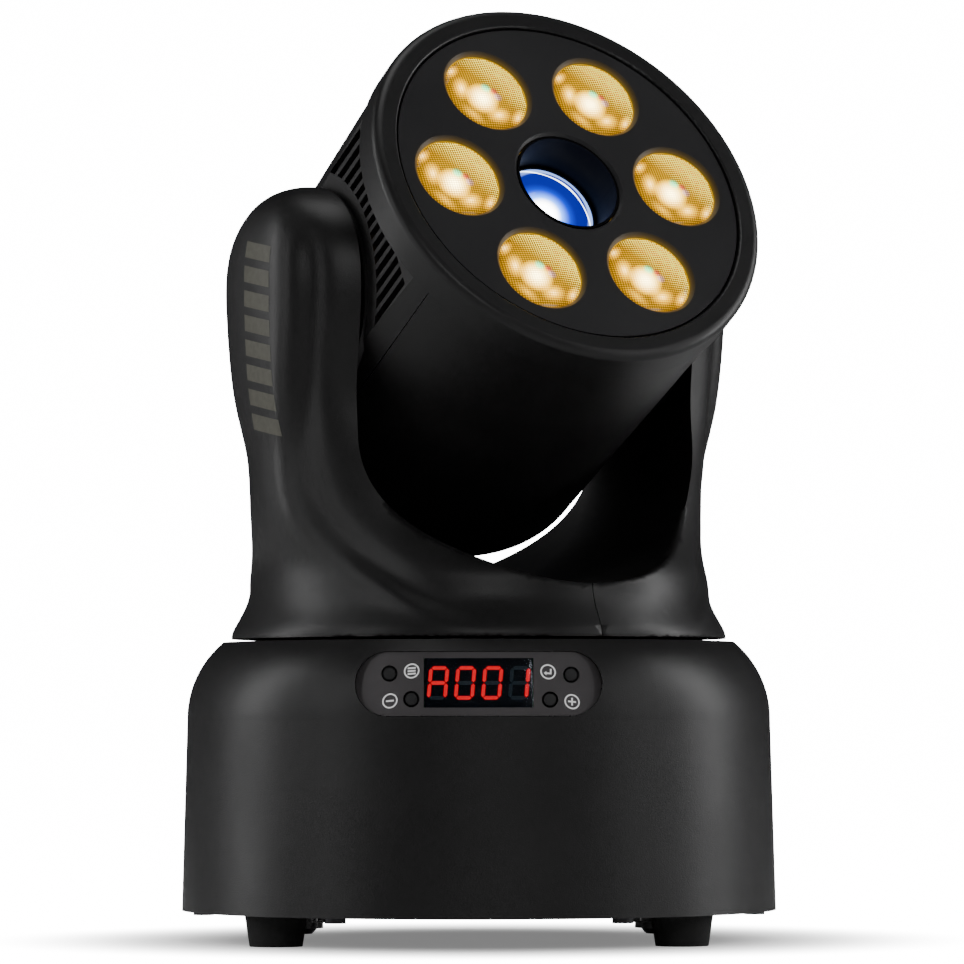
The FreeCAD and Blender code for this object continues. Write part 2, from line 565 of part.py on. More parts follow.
def pan_drive():
    bearing = cut("bearing_ring", rod("bearing_outer", "bearing_radius", 8, (0, 0, "deck_z - 8.4")),
                  rod("bearing_inner", "shaft_radius + running_gap", 8, (0, 0, "deck_z - 8.4")))
    piece(bearing, "pan_bearing")
    top = "yoke_low_z + yoke_wall + 2.6"
    low = "pan_belt_z - belt_width / 2 - 3"
    stem = rod("shaft_stem", "shaft_radius", f"{top} - ({low})", (0, 0, low))
    flange = rod("shaft_flange", "shaft_radius + 9", 2.4, (0, 0, f"{top} - 2.4"))
    way = rod("shaft_way", "shaft_bore", 60, (0, 0, 50))
    piece(cut("pan_shaft", fuse("shaft_solid", stem, flange), way), "pan_shaft", YOKE)
    drum = rod("pan_drum", "pan_pulley_radius", "belt_width + 2", (0, 0, "pan_belt_z - belt_width / 2 - 1"))
    rims = [rod(f"pan_rim_{k}", "pan_pulley_radius + 1.6", 1, (0, 0, z)) for k, z in
            enumerate(("pan_belt_z - belt_width / 2 - 2", "pan_belt_z + belt_width / 2 + 1"))]
    hub = rod("pan_hub_hole", "shaft_radius", 20, (0, 0, "pan_belt_z - 10"))
    windows = [rod(f"pan_window_{k}", 3.2, 20, (x, y, "pan_belt_z - 10")) for k, (x, y) in
               enumerate(on_circle("(shaft_radius + pan_pulley_radius) / 2", 6))]
    piece(cut("pan_pulley", fuse("pan_pulley_solid", drum, *rims), hub, *windows), "pan_pulley", YOKE)
    spot = ("pan_motor_x", "pan_motor_y")
    top_z = "pan_belt_z - belt_width / 2 - 4"
    can = block("pan_motor_can", "motor_side", "motor_side", "motor_length",
                (*spot, f"{top_z} - motor_length"))
    boss = rod("pan_motor_boss", 11, 2, (*spot, top_z))
    shaft = rod("pan_motor_shaft", 2.5, 12, (*spot, f"{top_z} + 2"))
    piece(fuse("pan_motor", can, boss, shaft), "pan_motor")
    drive = rod("pan_drive_drum", "motor_pulley_radius", "belt_width + 2",
                (*spot, "pan_belt_z - belt_width / 2 - 1"))
    rim = rod("pan_drive_rim", "motor_pulley_radius + 1.5", 1, (*spot, "pan_belt_z + belt_width / 2 + 1"))
    bore = rod("pan_drive_bore", "2.5 + running_gap", 20, (*spot, "pan_belt_z - 10"))
    piece(cut("pan_motor_pulley", fuse("pan_drive_solid", drive, rim), bore), "pan_motor_pulley")
    reach = math.hypot(size("pan_motor_x"), size("pan_motor_y"))
    loop = belt("pan_belt", reach, size("pan_pulley_radius"), size("motor_pulley_radius"))
    loop.Placement = FreeCAD.Placement(
        Vector(0, 0, size("pan_belt_z")),
        FreeCAD.Rotation(Vector(0, 0, 1), math.degrees(math.atan2(size("pan_motor_y"), size("pan_motor_x")))))
    PIECES.append(loop)


# ---------------------------------------------------------------- yoke
# Each station is (share of the rise from waist to tilt axis, share of the width gained,
# share of the waist's depth kept, squareness of the section).
STATIONS = [
    (0.00, 0.00, 1.00, 2.0),
    (0.10, 0.12, 0.76, 2.0),
    (0.19, 0.31, 0.50, 2.05),
    (0.31, 0.46, 0.28, 2.2),
    (0.46, 0.58, 0.10, 2.5),
    (0.65, 0.83, -0.08, 2.9),
    (0.85, 0.96, -0.04, 3.0),
    (1.00, 1.00, 0.00, 3.0),
]
# Skirt stations are (share of the way from the bottom edge to the waist, share of the radius lost).
SKIRT = [(0.0, 0.0), (0.10, 0.03), (0.25, 0.24), (0.45, 0.56), (0.70, 0.84)]
TOP_STATIONS = [0.30, 0.52, 0.70, 0.83, 0.92, 0.97, 0.995]
SECTION_POINTS = 16


def section(half_width, half_depth, square, height, edge):
    """Right half of a smooth section, an ellipse whose corners fill out as squareness grows,
    closed by a straight line at x = edge."""
    spots = [Vector(edge, -half_depth, height)]
    for number in range(1, SECTION_POINTS):
        angle = math.pi * (number / SECTION_POINTS - 0.5)
        across = math.cos(angle) ** (2 / square) * half_width
        along = math.copysign(abs(math.sin(angle)) ** (2 / square) * half_depth, angle)
        spots.append(Vector(across, along, height))
    spots.append(Vector(edge, half_depth, height))
    curve = Part.BSplineCurve()
    curve.interpolate(Points=spots, InitialTangent=Vector(1, 0, 0), FinalTangent=Vector(-1, 0, 0))
    return Part.Wire([curve.toShape(), Part.makeLine(spots[-1], spots[0])])


def yoke_form(inset):
    """The right half of the yoke's outer form, or its hollow when inset by the wall."""
    edge = size("seam_gap") / 2 - (1 if inset else 0)
    low = size("yoke_low_z")
    waist_z = size("waist_z")
    tilt_z = size("tilt_height")
    waist = size("waist_radius")
    width = size("arm_half_width")
    depth = size("arm_half_depth")
    inner = size("gap_half_width")
    wires = []
    for along, lost in SKIRT:
        radius = size("yoke_low_radius") + (waist - size("yoke_low_radius")) * lost - inset
        height = low + inset + (waist_z - low - inset) * along
        wires.append(section(radius, radius, 2.0, height, edge))
    for along, gained, kept, square in STATIONS:
        wires.append(section(waist + (width - waist) * gained - inset,
                             depth + (waist - depth) * kept - inset,
                             square, waist_z + (tilt_z - waist_z) * along, edge))
    rise = size("arm_rise") - inset
    for share in TOP_STATIONS:
        wires.append(section(inner + (width - inner) * (1 - share**3) ** 0.42 - inset,
                             max(depth * (1 - share**2.6) ** 0.42 - inset, inset / 2 + 1.5),
                             3.0, tilt_z + rise * share, edge))
    return Part.makeLoft(wires, True, False)


def gap_form(grow):
    """The opening between the arms, run front to back, grown by an amount."""
    half = size("gap_half_width") + grow
    tall = size("gap_round") + grow
    centre = size("tilt_height") - size("gap_depth") + size("gap_round")
    top = size("tilt_height") + 60
    reach = 100
    bow = Part.Ellipse(Vector(half, -reach, centre), Vector(0, -reach, centre - tall),
                       Vector(0, -reach, centre))
    if half < tall:
        bow = Part.Ellipse(Vector(0, -reach, centre - tall), Vector(half, -reach, centre),
                           Vector(0, -reach, centre))
    left = Vector(-half, -reach, centre)
    right = Vector(half, -reach, centre)
    params = sorted(bow.parameter(p) for p in (left, right))
    arcs = [Part.ArcOfEllipse(bow, params[0], params[1]),
            Part.ArcOfEllipse(bow, params[1], params[0] + 2 * math.pi)]
    lower = min(arcs, key=lambda arc: arc.value((arc.FirstParameter + arc.LastParameter) / 2).z).toShape()
    walls = [
        Part.makeLine(right, Vector(half, -reach, top)),
        Part.makeLine(Vector(half, -reach, top), Vector(-half, -reach, top)),
        Part.makeLine(Vector(-half, -reach, top), left),
    ]
    return Part.Face(Part.Wire(Part.__sortEdges__([lower, *walls]))).extrude(Vector(0, 2 * reach, 0))


def yoke_shells():
    wall = size("yoke_wall")
    outside = yoke_form(0).cut(gap_form(0))
    hollow = yoke_form(wall).cut(gap_form(wall))
    shell = outside.cut(hollow)
    shaft_hole = Part.makeCylinder(size("shaft_radius") + 0.2, 20, Vector(0, 0, size("yoke_low_z") - 5))
    axle_hole = Part.makeCylinder(size("trunnion_radius") + 0.2, 130, Vector(-65, 0, size("tilt_height")),
                                  Vector(1, 0, 0))
    shell = shell.cut(shaft_hole).cut(axle_hole)
    if len(shell.Solids) != 1:
        raise RuntimeError("a yoke half isn't one solid")
    right = shell.Solids[0]
    left = right.mirror(Vector(0, 0, 0), Vector(1, 0, 0))
    piece(solid("yoke_right", right), "yoke_right", YOKE)
    piece(solid("yoke_left", left), "yoke_left", YOKE)


def yoke_frame():
    low = "yoke_low_z + yoke_wall + 2.6"
    reach = "gap_half_width + yoke_wall + 0.4"
    floor = block("frame_floor", f"2 * ({reach} + frame_thick)", 34, "frame_thick", (0, 0, low))
    sides = [block(f"frame_side_{k}", "frame_thick", 26, f"tilt_height + 16 - ({low})",
                   (f"{sign} * ({reach} + frame_thick / 2)", 0, low)) for k, sign in ((0, -1), (1, 1))]
    way = rod("frame_way", "shaft_bore", 10, (0, 0, f"{low} - 4"))
    bores = rod("frame_bores", "trunnion_radius", 160, (-80, 0, "tilt_height"), "X")
    piece(cut("yoke_frame", fuse("frame_solid", floor, *sides), way, bores), "yoke_frame", YOKE)


def trunnions():
    made = []
    outer = "gap_half_width + yoke_wall + 0.4 + frame_thick"
    for number, sign in ((0, -1), (1, 1)):
        length = f"{outer} + 3 - 36"
        start = f"-({outer} + 3)" if sign < 0 else "36"
        stub = rod(f"trunnion_stub_{number}", "trunnion_radius", length, (start, 0, "tilt_height"), "X")
        nut_x = f"-({outer} + 3)" if sign < 0 else outer
        nut = rod(f"trunnion_nut_{number}", "trunnion_radius + 4", 3, (nut_x, 0, "tilt_height"), "X")
        way = rod(f"trunnion_way_{number}", "trunnion_bore", 160, (-80, 0, "tilt_height"), "X")
        made.append(cut(f"trunnion_{number}", fuse(f"trunnion_solid_{number}", stub, nut), way))
    piece(fuse("trunnions", *made), "trunnions", YOKE)
    middle = "tilt_belt_x"
    drum = rod("tilt_drum", "tilt_pulley_radius", "belt_width + 1.2", (f"{middle} - belt_width / 2 - 0.6", 0,
               "tilt_height"), "X")
    rims = [rod(f"tilt_rim_{k}", "tilt_pulley_radius + 1.6", 0.8, (x, 0, "tilt_height"), "X") for k, x in
            enumerate((f"{middle} - belt_width / 2 - 1.2", f"{middle} + belt_width / 2 + 0.4"))]
    bore = rod("tilt_bore", "trunnion_radius", 160, (-80, 0, "tilt_height"), "X")
    piece(cut("tilt_pulley", fuse("tilt_pulley_solid", drum, *rims), bore), "tilt_pulley", YOKE)


# ---------------------------------------------------------------- head (X tilt axis, Y up, Z forward)
def barrel_radius(z):
    """Barrel outside at a distance in front of the tilt axis."""
    share = f"(({z}) + barrel_back) / (head_front - ring_depth + barrel_back)"
    return f"(barrel_back_radius + (barrel_front_radius - barrel_back_radius) * {share})"


def barrel_slice(name, inset, angle, start):
    """A slice of the barrel's cone, inset by an amount."""
    length = "head_front - ring_depth + barrel_back - seam_gap"
    return cone(name, f"barrel_back_radius - ({inset})", f"barrel_front_radius - ({inset})", length,
                (0, 0, "-barrel_back"), angle, start)


def head_shells():
    slack = "0.24"
    for node, start in (("head_top", "side_seam_angle"), ("head_bottom", "180 + side_seam_angle")):
        outer = barrel_slice(node + "_outer", 0, f"180 - 2 * side_seam_angle - {slack}", start)
        inner = barrel_slice(node + "_inner", "barrel_wall", 360, 0)
        piece(cut(node, outer, inner), node, HEAD)
    for node, start, sign in (("side_cover_right", "-side_seam_angle", 1),
                              ("side_cover_left", "180 - side_seam_angle", -1)):
        outer = barrel_slice(node + "_outer", 0, f"2 * side_seam_angle - {slack}", start)
        flat = block(node + "_flat", "2 * side_half_width", 200, 200, (0, 0, -100))
        inner = barrel_slice(node + "_inner", "barrel_wall", 360, 0)
        inner_flat = block(node + "_inner_flat", "2 * (side_half_width - barrel_wall)", 200, 220,
                           (0, 0, -110))
        hollow = common(node + "_hollow", inner, inner_flat)
        skin = cut(node + "_skin", common(node + "_body", outer, flat), hollow)
        hub_x = "side_half_width - 1" if sign > 0 else "-side_half_width - hub_height"
        hub = rod(node + "_hub", "hub_radius", "1 + hub_height", (hub_x, 0, 0), "X")
        axle = rod(node + "_axle", "trunnion_radius + fit_gap", 20, ("side_half_width - 10" if sign > 0 else
                   "-side_half_width - 10", 0, 0), "X")
        keep = rod(node + "_vent_keep", "vent_arc", 30, ("side_half_width - 15" if sign > 0 else
                   "-side_half_width - 15", 0, 0), "X")
        slots = [block(f"{node}_slot_{k + 7}", 10, "vent_slot", "vent_front", (f"{sign} * side_half_width",
                 f"{k} * vent_pitch", 0)) for k in range(-7, 8)]
        vents = cut(node + "_vents", fuse(node + "_slots", *slots), keep)
        piece(cut(node, fuse(node + "_solid", skin, hub), axle, vents), node, HEAD)
    closed = rear_bowl("rear_outer", 0, "side_half_width - rear_step")
    hollow = rear_bowl("rear_inner", "barrel_wall", "side_half_width - rear_step - barrel_wall")
    bowl = cut("rear_bowl", closed, hollow)
    vents = [block(f"rear_vent_{k + 5}", f"2 * sqrt((barrel_back_radius - 16)^2 - ({k} * 6.5)^2)", 3, 12,
                   (0, f"{k} * 6.5", "-head_back - 5")) for k in range(-5, 6)]
    bridge = [block(f"rear_bridge_{k + 1}", 4, 100, 12, (f"{k} * 19", 0, "-head_back - 5"))
              for k in (-1, 0, 1)]
    grid = cut("rear_grid", fuse("rear_vents", *vents), *bridge)
    piece(cut("rear_cover", bowl, grid), "rear_cover", HEAD)


def rear_bowl(name, inset, half_width):
    """The rounded back of the head, flattened left and right like the side covers."""
    open_z = f"-barrel_back - seam_gap + ({inset}) * 0.01"
    form = turned(name + "_form", [
        (0, f"-head_back + ({inset})"),
        (f"barrel_back_radius - 7 - ({inset}) * 0.6", f"-head_back + ({inset})",
         f"9.2 - ({inset}) * 0.5", -1),
        (f"barrel_back_radius - ({inset})", open_z),
        (0, open_z),
    ])
    return common(name, form, block(name + "_flats", f"2 * ({half_width})", 200, 200, (0, 0, -150)))


def front_ring():
    ring = turned("front_ring", [
        ("ring_radius", "head_front - ring_depth"),
        ("ring_radius", "head_front - ring_round", "ring_round", -1),
        ("ring_radius - ring_round", "head_front"),
        ("ring_inner + 0.6", "head_front", "0.6", -1),
        ("ring_inner", "head_front - 0.6"),
        ("ring_inner", "head_front - face_inset - face_thick"),
        ("ring_inner + 2.4", "head_front - face_inset - face_thick"),
        ("ring_inner + 2.4", "head_front - ring_depth"),
    ])
    piece(ring, "front_ring", HEAD)


LENS_ANGLES = [60 * k for k in range(6)]


def lens_spot(angle):
    return (f"lens_circle * cos({angle})", f"lens_circle * sin({angle})")


def face_panel():
    back = "head_front - face_inset - face_thick"
    disc = rod("face_disc", "face_radius", "face_thick", (0, 0, back))
    rim = rod("face_rim", "ring_inner + 2.2", 1.5, (0, 0, f"{back} - 1.5"))
    tools = []
    for number, angle in enumerate(LENS_ANGLES):
        x, y = lens_spot(angle)
        tools.append(rod(f"lens_hole_{number}", "lens_hole", 12, (x, y, f"{back} - 5")))
        tools.append(cone(f"lens_lip_{number}", "lens_hole", "lens_hole + lens_lip", "lens_lip",
                          (x, y, "head_front - face_inset - lens_lip")))
    tools.append(rod("beam_hole_cut", "beam_hole", 12, (0, 0, f"{back} - 5")))
    tools.append(cone("beam_lip_cut", "beam_hole", "beam_hole + beam_lip", "beam_lip",
                      (0, 0, "head_front - face_inset - beam_lip")))
    piece(cut("face_panel", fuse("face_solid", disc, rim), *tools), "face_panel", HEAD)


def wash_lenses():
    crown = "head_front - face_inset - lens_inset"
    for number, angle in enumerate(LENS_ANGLES):
        name = f"wash_lens_{number + 1}"
        dome = "(lens_radius^2 + lens_crown^2) / (2 * lens_crown)"
        lens = turned(name, [
            (0, "lens_depth", dome, 1),
            ("lens_radius", "lens_depth - lens_crown"),
            ("lens_radius", "lens_depth - lens_crown - 2"),
            ("lens_radius - 1.2", "lens_depth - lens_crown - 2.4"),
            (4.2, 0.6),
            (0, 0.6),
        ])
        x, y = lens_spot(angle)
        lens.Label = name
        seat = f"vector({bound(x)}; {bound(y)}; {bound(crown + ' - lens_depth')})"
        lens.setExpression("Placement", f"{HEAD} * placement({seat}; rotation(0; 0; 0))")
        PIECES.append(lens)


def light_engine():
    board = cut("led_board_disc", rod("led_board_outer", "sink_radius", "board_thick", (0, 0, "board_z")),
                rod("led_board_hole", "tube_radius + 1", 10, (0, 0, "board_z - 4")))
    sources = [block(f"led_source_{k}", 5, 5, 1.2, (*lens_spot(a), "board_z + board_thick"))
               for k, a in enumerate(LENS_ANGLES)]
    piece(fuse("led_board", board, *sources), "led_board", HEAD)
    slab = rod("sink_slab", "sink_radius", 4, (0, 0, "board_z - 4"))
    round_form = rod("sink_round", "sink_radius", "sink_fin_length", (0, 0, "board_z - 4 - sink_fin_length"))
    fins = [block(f"sink_fin_{k + 8}", 2, 120, "sink_fin_length",
                  (f"{k} * 6", 0, "board_z - 4 - sink_fin_length")) for k in range(-8, 9)]
    trimmed = common("sink_fins", fuse("sink_fin_row", *fins), round_form)
    hole = rod("sink_hole", "tube_radius + 1", 60, (0, 0, 0))
    piece(cut("heat_sink", fuse("sink_solid", slab, trimmed), hole), "heat_sink", HEAD)


def beam_engine():
    front = "head_front - face_inset - 0.6"
    crown = "head_front - face_inset - beam_lens_inset"
    bore = "tube_radius - tube_wall"
    sleeve = rod("tube_sleeve", "tube_radius", f"{front} - tube_back", (0, 0, "tube_back"))
    way = rod("tube_way", bore, f"{front} - ({crown} - 10)", (0, 0, f"{crown} - 10"))
    taper = cone("tube_taper", 9, f"{bore} - 1", f"{crown} - 10 - tube_back", (0, 0, "tube_back"))
    piece(cut("beam_tube", sleeve, way, taper), "beam_tube", HEAD)
    lens_r = f"({bore} - 0.05)"
    dome = f"({lens_r}^2 + beam_lens_crown^2) / (2 * beam_lens_crown)"
    lens = turned("beam_lens", [
        (0, crown, dome, 1),
        (lens_r, f"{crown} - beam_lens_crown"),
        (lens_r, f"{crown} - beam_lens_crown - 3"),
        (0, f"{crown} - beam_lens_crown - 3"),
    ])
    piece(lens, "beam_lens", HEAD)
    sink = block("beam_sink", 20, 20, 6, (0, 0, -9))
    star = block("beam_star", 16, 16, 1.6, (0, 0, -3))
    die = rod("beam_die", 3.4, 1.4, (0, 0, -1.4))
    piece(fuse("beam_led", sink, star, die), "beam_led", HEAD)
    disc = rod("gobo_disc", "gobo_radius", 1.2, (0, "-gobo_offset", "gobo_z"))
    tools = []
    for number in range(7):
        angle = 90 + 360 / 7 * number
        x = f"gobo_offset * cos({angle})"
        y = f"-gobo_offset + gobo_offset * sin({angle})"
        if number == 0:
            tools.append(rod("gobo_open", 4.6, 6, (x, y, "gobo_z - 2")))
            continue
        spread = 2.7
        for mark in range(3 + number % 3):
            turn = math.radians(360 / (3 + number % 3) * mark)
            spot = (f"{x} + {spread * math.cos(turn)}", f"{y} + {spread * math.sin(turn)}", "gobo_z - 2")
            tools.append(rod(f"gobo_{number}_{mark}", 1.1, 6, spot))
    hub = rod("gobo_hub", 4, 3, (0, "-gobo_offset", "gobo_z - 3"))
    bore_cut = rod("gobo_bore", "1.5 + running_gap", 12, (0, "-gobo_offset", "gobo_z - 6"))
    piece(cut("gobo_wheel", fuse("gobo_solid", disc, hub), bore_cut, *tools), "gobo_wheel", HEAD)
    can = rod("gobo_motor_can", 9, 10, (0, "-gobo_offset - 1", -8))
    shaft = rod("gobo_motor_shaft", 1.5, 8, (0, "-gobo_offset", 2))
    piece(fuse("gobo_motor", can, shaft), "gobo_motor", HEAD)


def tilt_drive():
    inner = "side_half_width - barrel_wall - 0.4"
    plates = []
    rings = []
    for number, sign in ((0, -1), (1, 1)):
        x = f"{sign} * ({inner} - 1)"
        plates.append(block(f"head_plate_{number}", 2, 34, 46, (x, 0, -28)))
        start = f"-({inner})" if sign < 0 else f"{inner} - 6"
        rings.append(cut(f"tilt_ring_{number}",
                         rod(f"tilt_ring_outer_{number}", "tilt_bearing_radius", 6, (start, 0, 0), "X"),
                         rod(f"tilt_ring_inner_{number}", "trunnion_radius + running_gap", 140,
                             (-70, 0, 0), "X")))
    seats = rod("head_seats", "tilt_bearing_radius", 140, (-70, 0, 0), "X")
    low_bar = block("head_low_bar", f"2 * ({inner})", 4, 2, (0, -21, -28))
    tabs = [block(f"head_tab_{k}", 2, 7, 8, (f"{sign} * ({inner} - 1)", -19.5, -28))
            for k, sign in ((0, -1), (1, 1))]
    piece(cut("head_frame", fuse("head_frame_solid", *plates, low_bar, *tabs), seats), "head_frame", HEAD)
    piece(fuse("tilt_bearings", *rings), "tilt_bearings", HEAD)
    start = "tilt_belt_x + belt_width / 2 + 3"
    can = block("tilt_motor_can", "tilt_motor_length", "tilt_motor_side", "tilt_motor_side",
                (f"{start} + tilt_motor_length / 2", 0, "-tilt_motor_back - tilt_motor_side / 2"))
    shaft = rod("tilt_motor_shaft", 2.5, 12, (f"{start} - 12", 0, "-tilt_motor_back"), "X")
    piece(fuse("tilt_motor", can, shaft), "tilt_motor", HEAD)
    drive = rod("tilt_drive_drum", "motor_pulley_radius", "belt_width + 1.2",
                ("tilt_belt_x - belt_width / 2 - 0.6", 0, "-tilt_motor_back"), "X")
    rim = rod("tilt_drive_rim", "motor_pulley_radius + 1.5", 0.8,
              ("tilt_belt_x - belt_width / 2 - 1.4", 0, "-tilt_motor_back"), "X")
    bore = rod("tilt_drive_bore", "2.5 + running_gap", 40, ("tilt_belt_x - 20", 0, "-tilt_motor_back"), "X")
    piece(cut("tilt_motor_pulley", fuse("tilt_drive_solid", drive, rim), bore), "tilt_motor_pulley", HEAD)
    loop = belt("tilt_belt", size("tilt_motor_back"), size("tilt_pulley_radius"), size("motor_pulley_radius"))
    local = FreeCAD.Placement(Vector(size("tilt_belt_x"), 0, 0), FreeCAD.Rotation(Vector(0, 1, 0), 90))
    loop.Placement = sheet.evalExpression(HEAD) * local
    PIECES.append(loop)


def cooling_fan():
    z = "-head_back + barrel_wall + 4"
    frame = block("fan_block", "fan_side", "fan_side", 10, ("fan_x", 0, z))
    mouth = rod("fan_mouth", "fan_radius + 0.8", 9, ("fan_x", 0, f"{z} + 1"))
    floor_cuts = [cut("fan_floor_ring",
                      rod("fan_floor_outer", "fan_radius + 0.8", 2, ("fan_x", 0, f"{z} - 0.5")),
                      rod("fan_floor_inner", 9, 3, ("fan_x", 0, f"{z} - 1")),
                      block("fan_spoke_a", 60, 3, 3, ("fan_x", 0, f"{z} - 1")),
                      block("fan_spoke_b", 3, 60, 3, ("fan_x", 0, f"{z} - 1")))]
    piece(cut("fan_frame", frame, mouth, *floor_cuts), "fan_frame", HEAD)
    hub = rod("fan_hub", 8, 7, ("fan_x", 0, f"{z} + 1.6"))
    blades = []
    for number in range(7):
        angle = math.radians(360 / 7 * number)
        blade = Part.makeBox(10, 1.0, 6.6, Vector(6.5, -0.5, -3.3))
        blade.rotate(Vector(0, 0, 0), Vector(1, 0, 0), 38)
        blade.translate(Vector(0, 0, 0))
        blade.rotate(Vector(0, 0, 0), Vector(0, 0, 1), math.degrees(angle))
        blades.append(blade)
    middle = Vector(size("fan_x"), 0, size(z) + 5.1)
    wheel = blades[0].multiFuse(blades[1:])
    wheel.translate(middle)
    rotor = fuse("fan_rotor", hub, solid("fan_blades", wheel))
    piece(rotor, "fan_rotor", HEAD)


base_housing()
bottom_plate()
feet()
bracket_sockets()
control_panel()
rear_tray()
base_electrics()
pan_drive()
yoke_shells()
yoke_frame()
trunnions()
head_shells()
front_ring()
face_panel()
wash_lenses()
light_engine()
beam_engine()
tilt_drive()
cooling_fan()
doc.recompute()

for obj in doc.Objects:
    if "Invalid" in obj.State or "Error" in obj.State:
        raise RuntimeError(f"{obj.Name} ({obj.Label}) failed: {obj.State}")
labels = [obj.Label for obj in PIECES]
if len(set(labels)) != len(labels):
    raise RuntimeError("two sub-parts share a name")
for obj in PIECES:
    if obj.Shape.isNull() or not obj.Shape.isValid() or not obj.Shape.Solids:
        raise RuntimeError(f"{obj.Label} has no valid solid")

os.makedirs("parts", exist_ok=True)
for obj in PIECES:
    obj.Shape.exportStep(f"parts/{obj.Label}.step")
    box = obj.Shape.BoundBox
    print(f"{obj.Label:20s} solids {len(obj.Shape.Solids)}  volume {obj.Shape.Volume:9.0f}  "
          f"x {box.XMin:6.1f} {box.XMax:6.1f}  y {box.YMin:6.1f} {box.YMax:6.1f}  "
          f"z {box.ZMin:6.1f} {box.ZMax:6.1f}")
print(len(PIECES), "sub-parts")
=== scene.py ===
# %% [markdown]
# # A moving head light, dressed for its portrait
# The frame of this light, with every part that fits or turns, comes from its CAD model. This lesson
# puts the looks on it: the finishes, the lit lenses, the display, the moulded ridges and the small
# screws and marks that an owner would recognise.
# The frame is loaded first, because every later step asks it where things are.

# %% Load the frame
import json
import math

import bmesh
import bpy
from mathutils import Matrix, Vector


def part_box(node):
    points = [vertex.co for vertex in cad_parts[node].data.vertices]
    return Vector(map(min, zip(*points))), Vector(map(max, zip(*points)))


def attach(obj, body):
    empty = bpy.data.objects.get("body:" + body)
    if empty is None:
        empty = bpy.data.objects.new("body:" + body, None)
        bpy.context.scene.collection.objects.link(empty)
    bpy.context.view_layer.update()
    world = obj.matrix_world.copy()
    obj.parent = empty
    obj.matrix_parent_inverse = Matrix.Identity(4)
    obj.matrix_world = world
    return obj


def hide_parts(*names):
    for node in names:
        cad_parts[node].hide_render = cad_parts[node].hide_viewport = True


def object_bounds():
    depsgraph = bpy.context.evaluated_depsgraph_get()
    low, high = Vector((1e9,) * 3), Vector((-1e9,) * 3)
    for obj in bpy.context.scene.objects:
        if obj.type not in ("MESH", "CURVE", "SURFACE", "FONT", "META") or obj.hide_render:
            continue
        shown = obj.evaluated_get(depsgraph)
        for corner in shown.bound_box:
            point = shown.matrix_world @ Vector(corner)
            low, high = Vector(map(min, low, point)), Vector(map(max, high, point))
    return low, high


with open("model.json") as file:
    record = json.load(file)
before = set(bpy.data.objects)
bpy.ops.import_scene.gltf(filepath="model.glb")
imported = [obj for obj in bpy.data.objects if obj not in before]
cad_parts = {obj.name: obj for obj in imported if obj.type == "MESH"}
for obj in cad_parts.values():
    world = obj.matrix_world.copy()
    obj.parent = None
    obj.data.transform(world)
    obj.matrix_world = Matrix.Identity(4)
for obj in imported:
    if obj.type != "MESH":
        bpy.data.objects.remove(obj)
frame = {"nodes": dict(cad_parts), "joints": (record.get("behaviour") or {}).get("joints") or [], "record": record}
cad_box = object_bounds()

nodes = frame["nodes"]
joints = {joint["name"]: joint for joint in frame["joints"]}

# %% [markdown]
# The yoke is turned a little to one side and the head leans up. Working in those slanted directions
# would be tiresome, so the yoke and the head each get a frame of their own, read from the joints.
# In the yoke's frame X runs along the tilt axis and -Y is the front. In the head's frame Z is the
# way the light shines, and Y is up over the head's back.

# %% Frames for the yoke and the head
MM = 0.001
UP = Vector((0, 0, 1))
tilt_centre = Vector(joints["tilt"]["pos_m"])
across = -Vector(joints["tilt"]["axis"]).normalized()
shine = Vector(joints["gobo_spin"]["axis"]).normalized()


def frame_of(x, y, z, origin):
    """The 4 by 4 matrix that takes places in a slanted frame to places in the whole light."""
    axes = Matrix((x, y, z)).transposed().to_4x4()
    return Matrix.Translation(origin) @ axes


YOKE = frame_of(across, UP.cross(across), UP, Vector((0, 0, 0)))
HEAD = frame_of(across, shine.cross(across), shine, tilt_centre)


def reach(node, place):
    """Lowest and highest corner of a CAD node, measured in a slanted frame."""
    back = place.inverted()
    points = [back @ v.co for v in nodes[node].data.vertices]
    low = Vector([min(p[i] for p in points) for i in range(3)])
    high = Vector([max(p[i] for p in points) for i in range(3)])
    return low, high


print("tilt axis at", [round(c / MM, 1) for c in tilt_centre], "mm")

# %% [markdown]
# The view is a long lens from the front, a little below the middle of the light and looking
# slightly up, as a person kneeling in front of a stage would see it. It is set up early, because
# every finish is judged through it.

# %% Camera
CAMERA_PLACE = Vector((0, -1.663, 0.0658))
CAMERA_PITCH = math.radians(2.372)
CAMERA_YAW = math.radians(0.037)
CAMERA_ROLL = math.radians(-0.087)
camera_data = bpy.data.cameras.new("camera")
camera_data.lens = 210.6
camera_data.sensor_width = 36
camera = bpy.data.objects.new("camera", camera_data)
bpy.context.scene.collection.objects.link(camera)
camera.rotation_mode = "QUATERNION"
looking = Vector((math.sin(CAMERA_YAW) * math.cos(CAMERA_PITCH),
                  math.cos(CAMERA_YAW) * math.cos(CAMERA_PITCH), math.sin(CAMERA_PITCH)))
turn = looking.to_track_quat("-Z", "Y")
camera.rotation_quaternion = turn @ Matrix.Rotation(CAMERA_ROLL, 3, "Z").to_quaternion()
camera.location = CAMERA_PLACE
bpy.context.scene.camera = camera
print("camera", round(camera_data.lens), "mm lens, looking", [round(c, 3) for c in looking])

# %% [markdown]
# A black object is drawn by what it mirrors. Two tall soft boxes at the sides lay long highlights down
# the base and the yoke, one overhead rounds the head's ring, and the room in front stays dark so
# that the plastic reads as black. The room itself could be a dome of lamps, but a world whose
# brightness depends on direction is simpler and has no edges to mirror. What the camera sees
# directly of it is a plain white paper background.

# %% Room light
WHITE_PAPER = 16.0


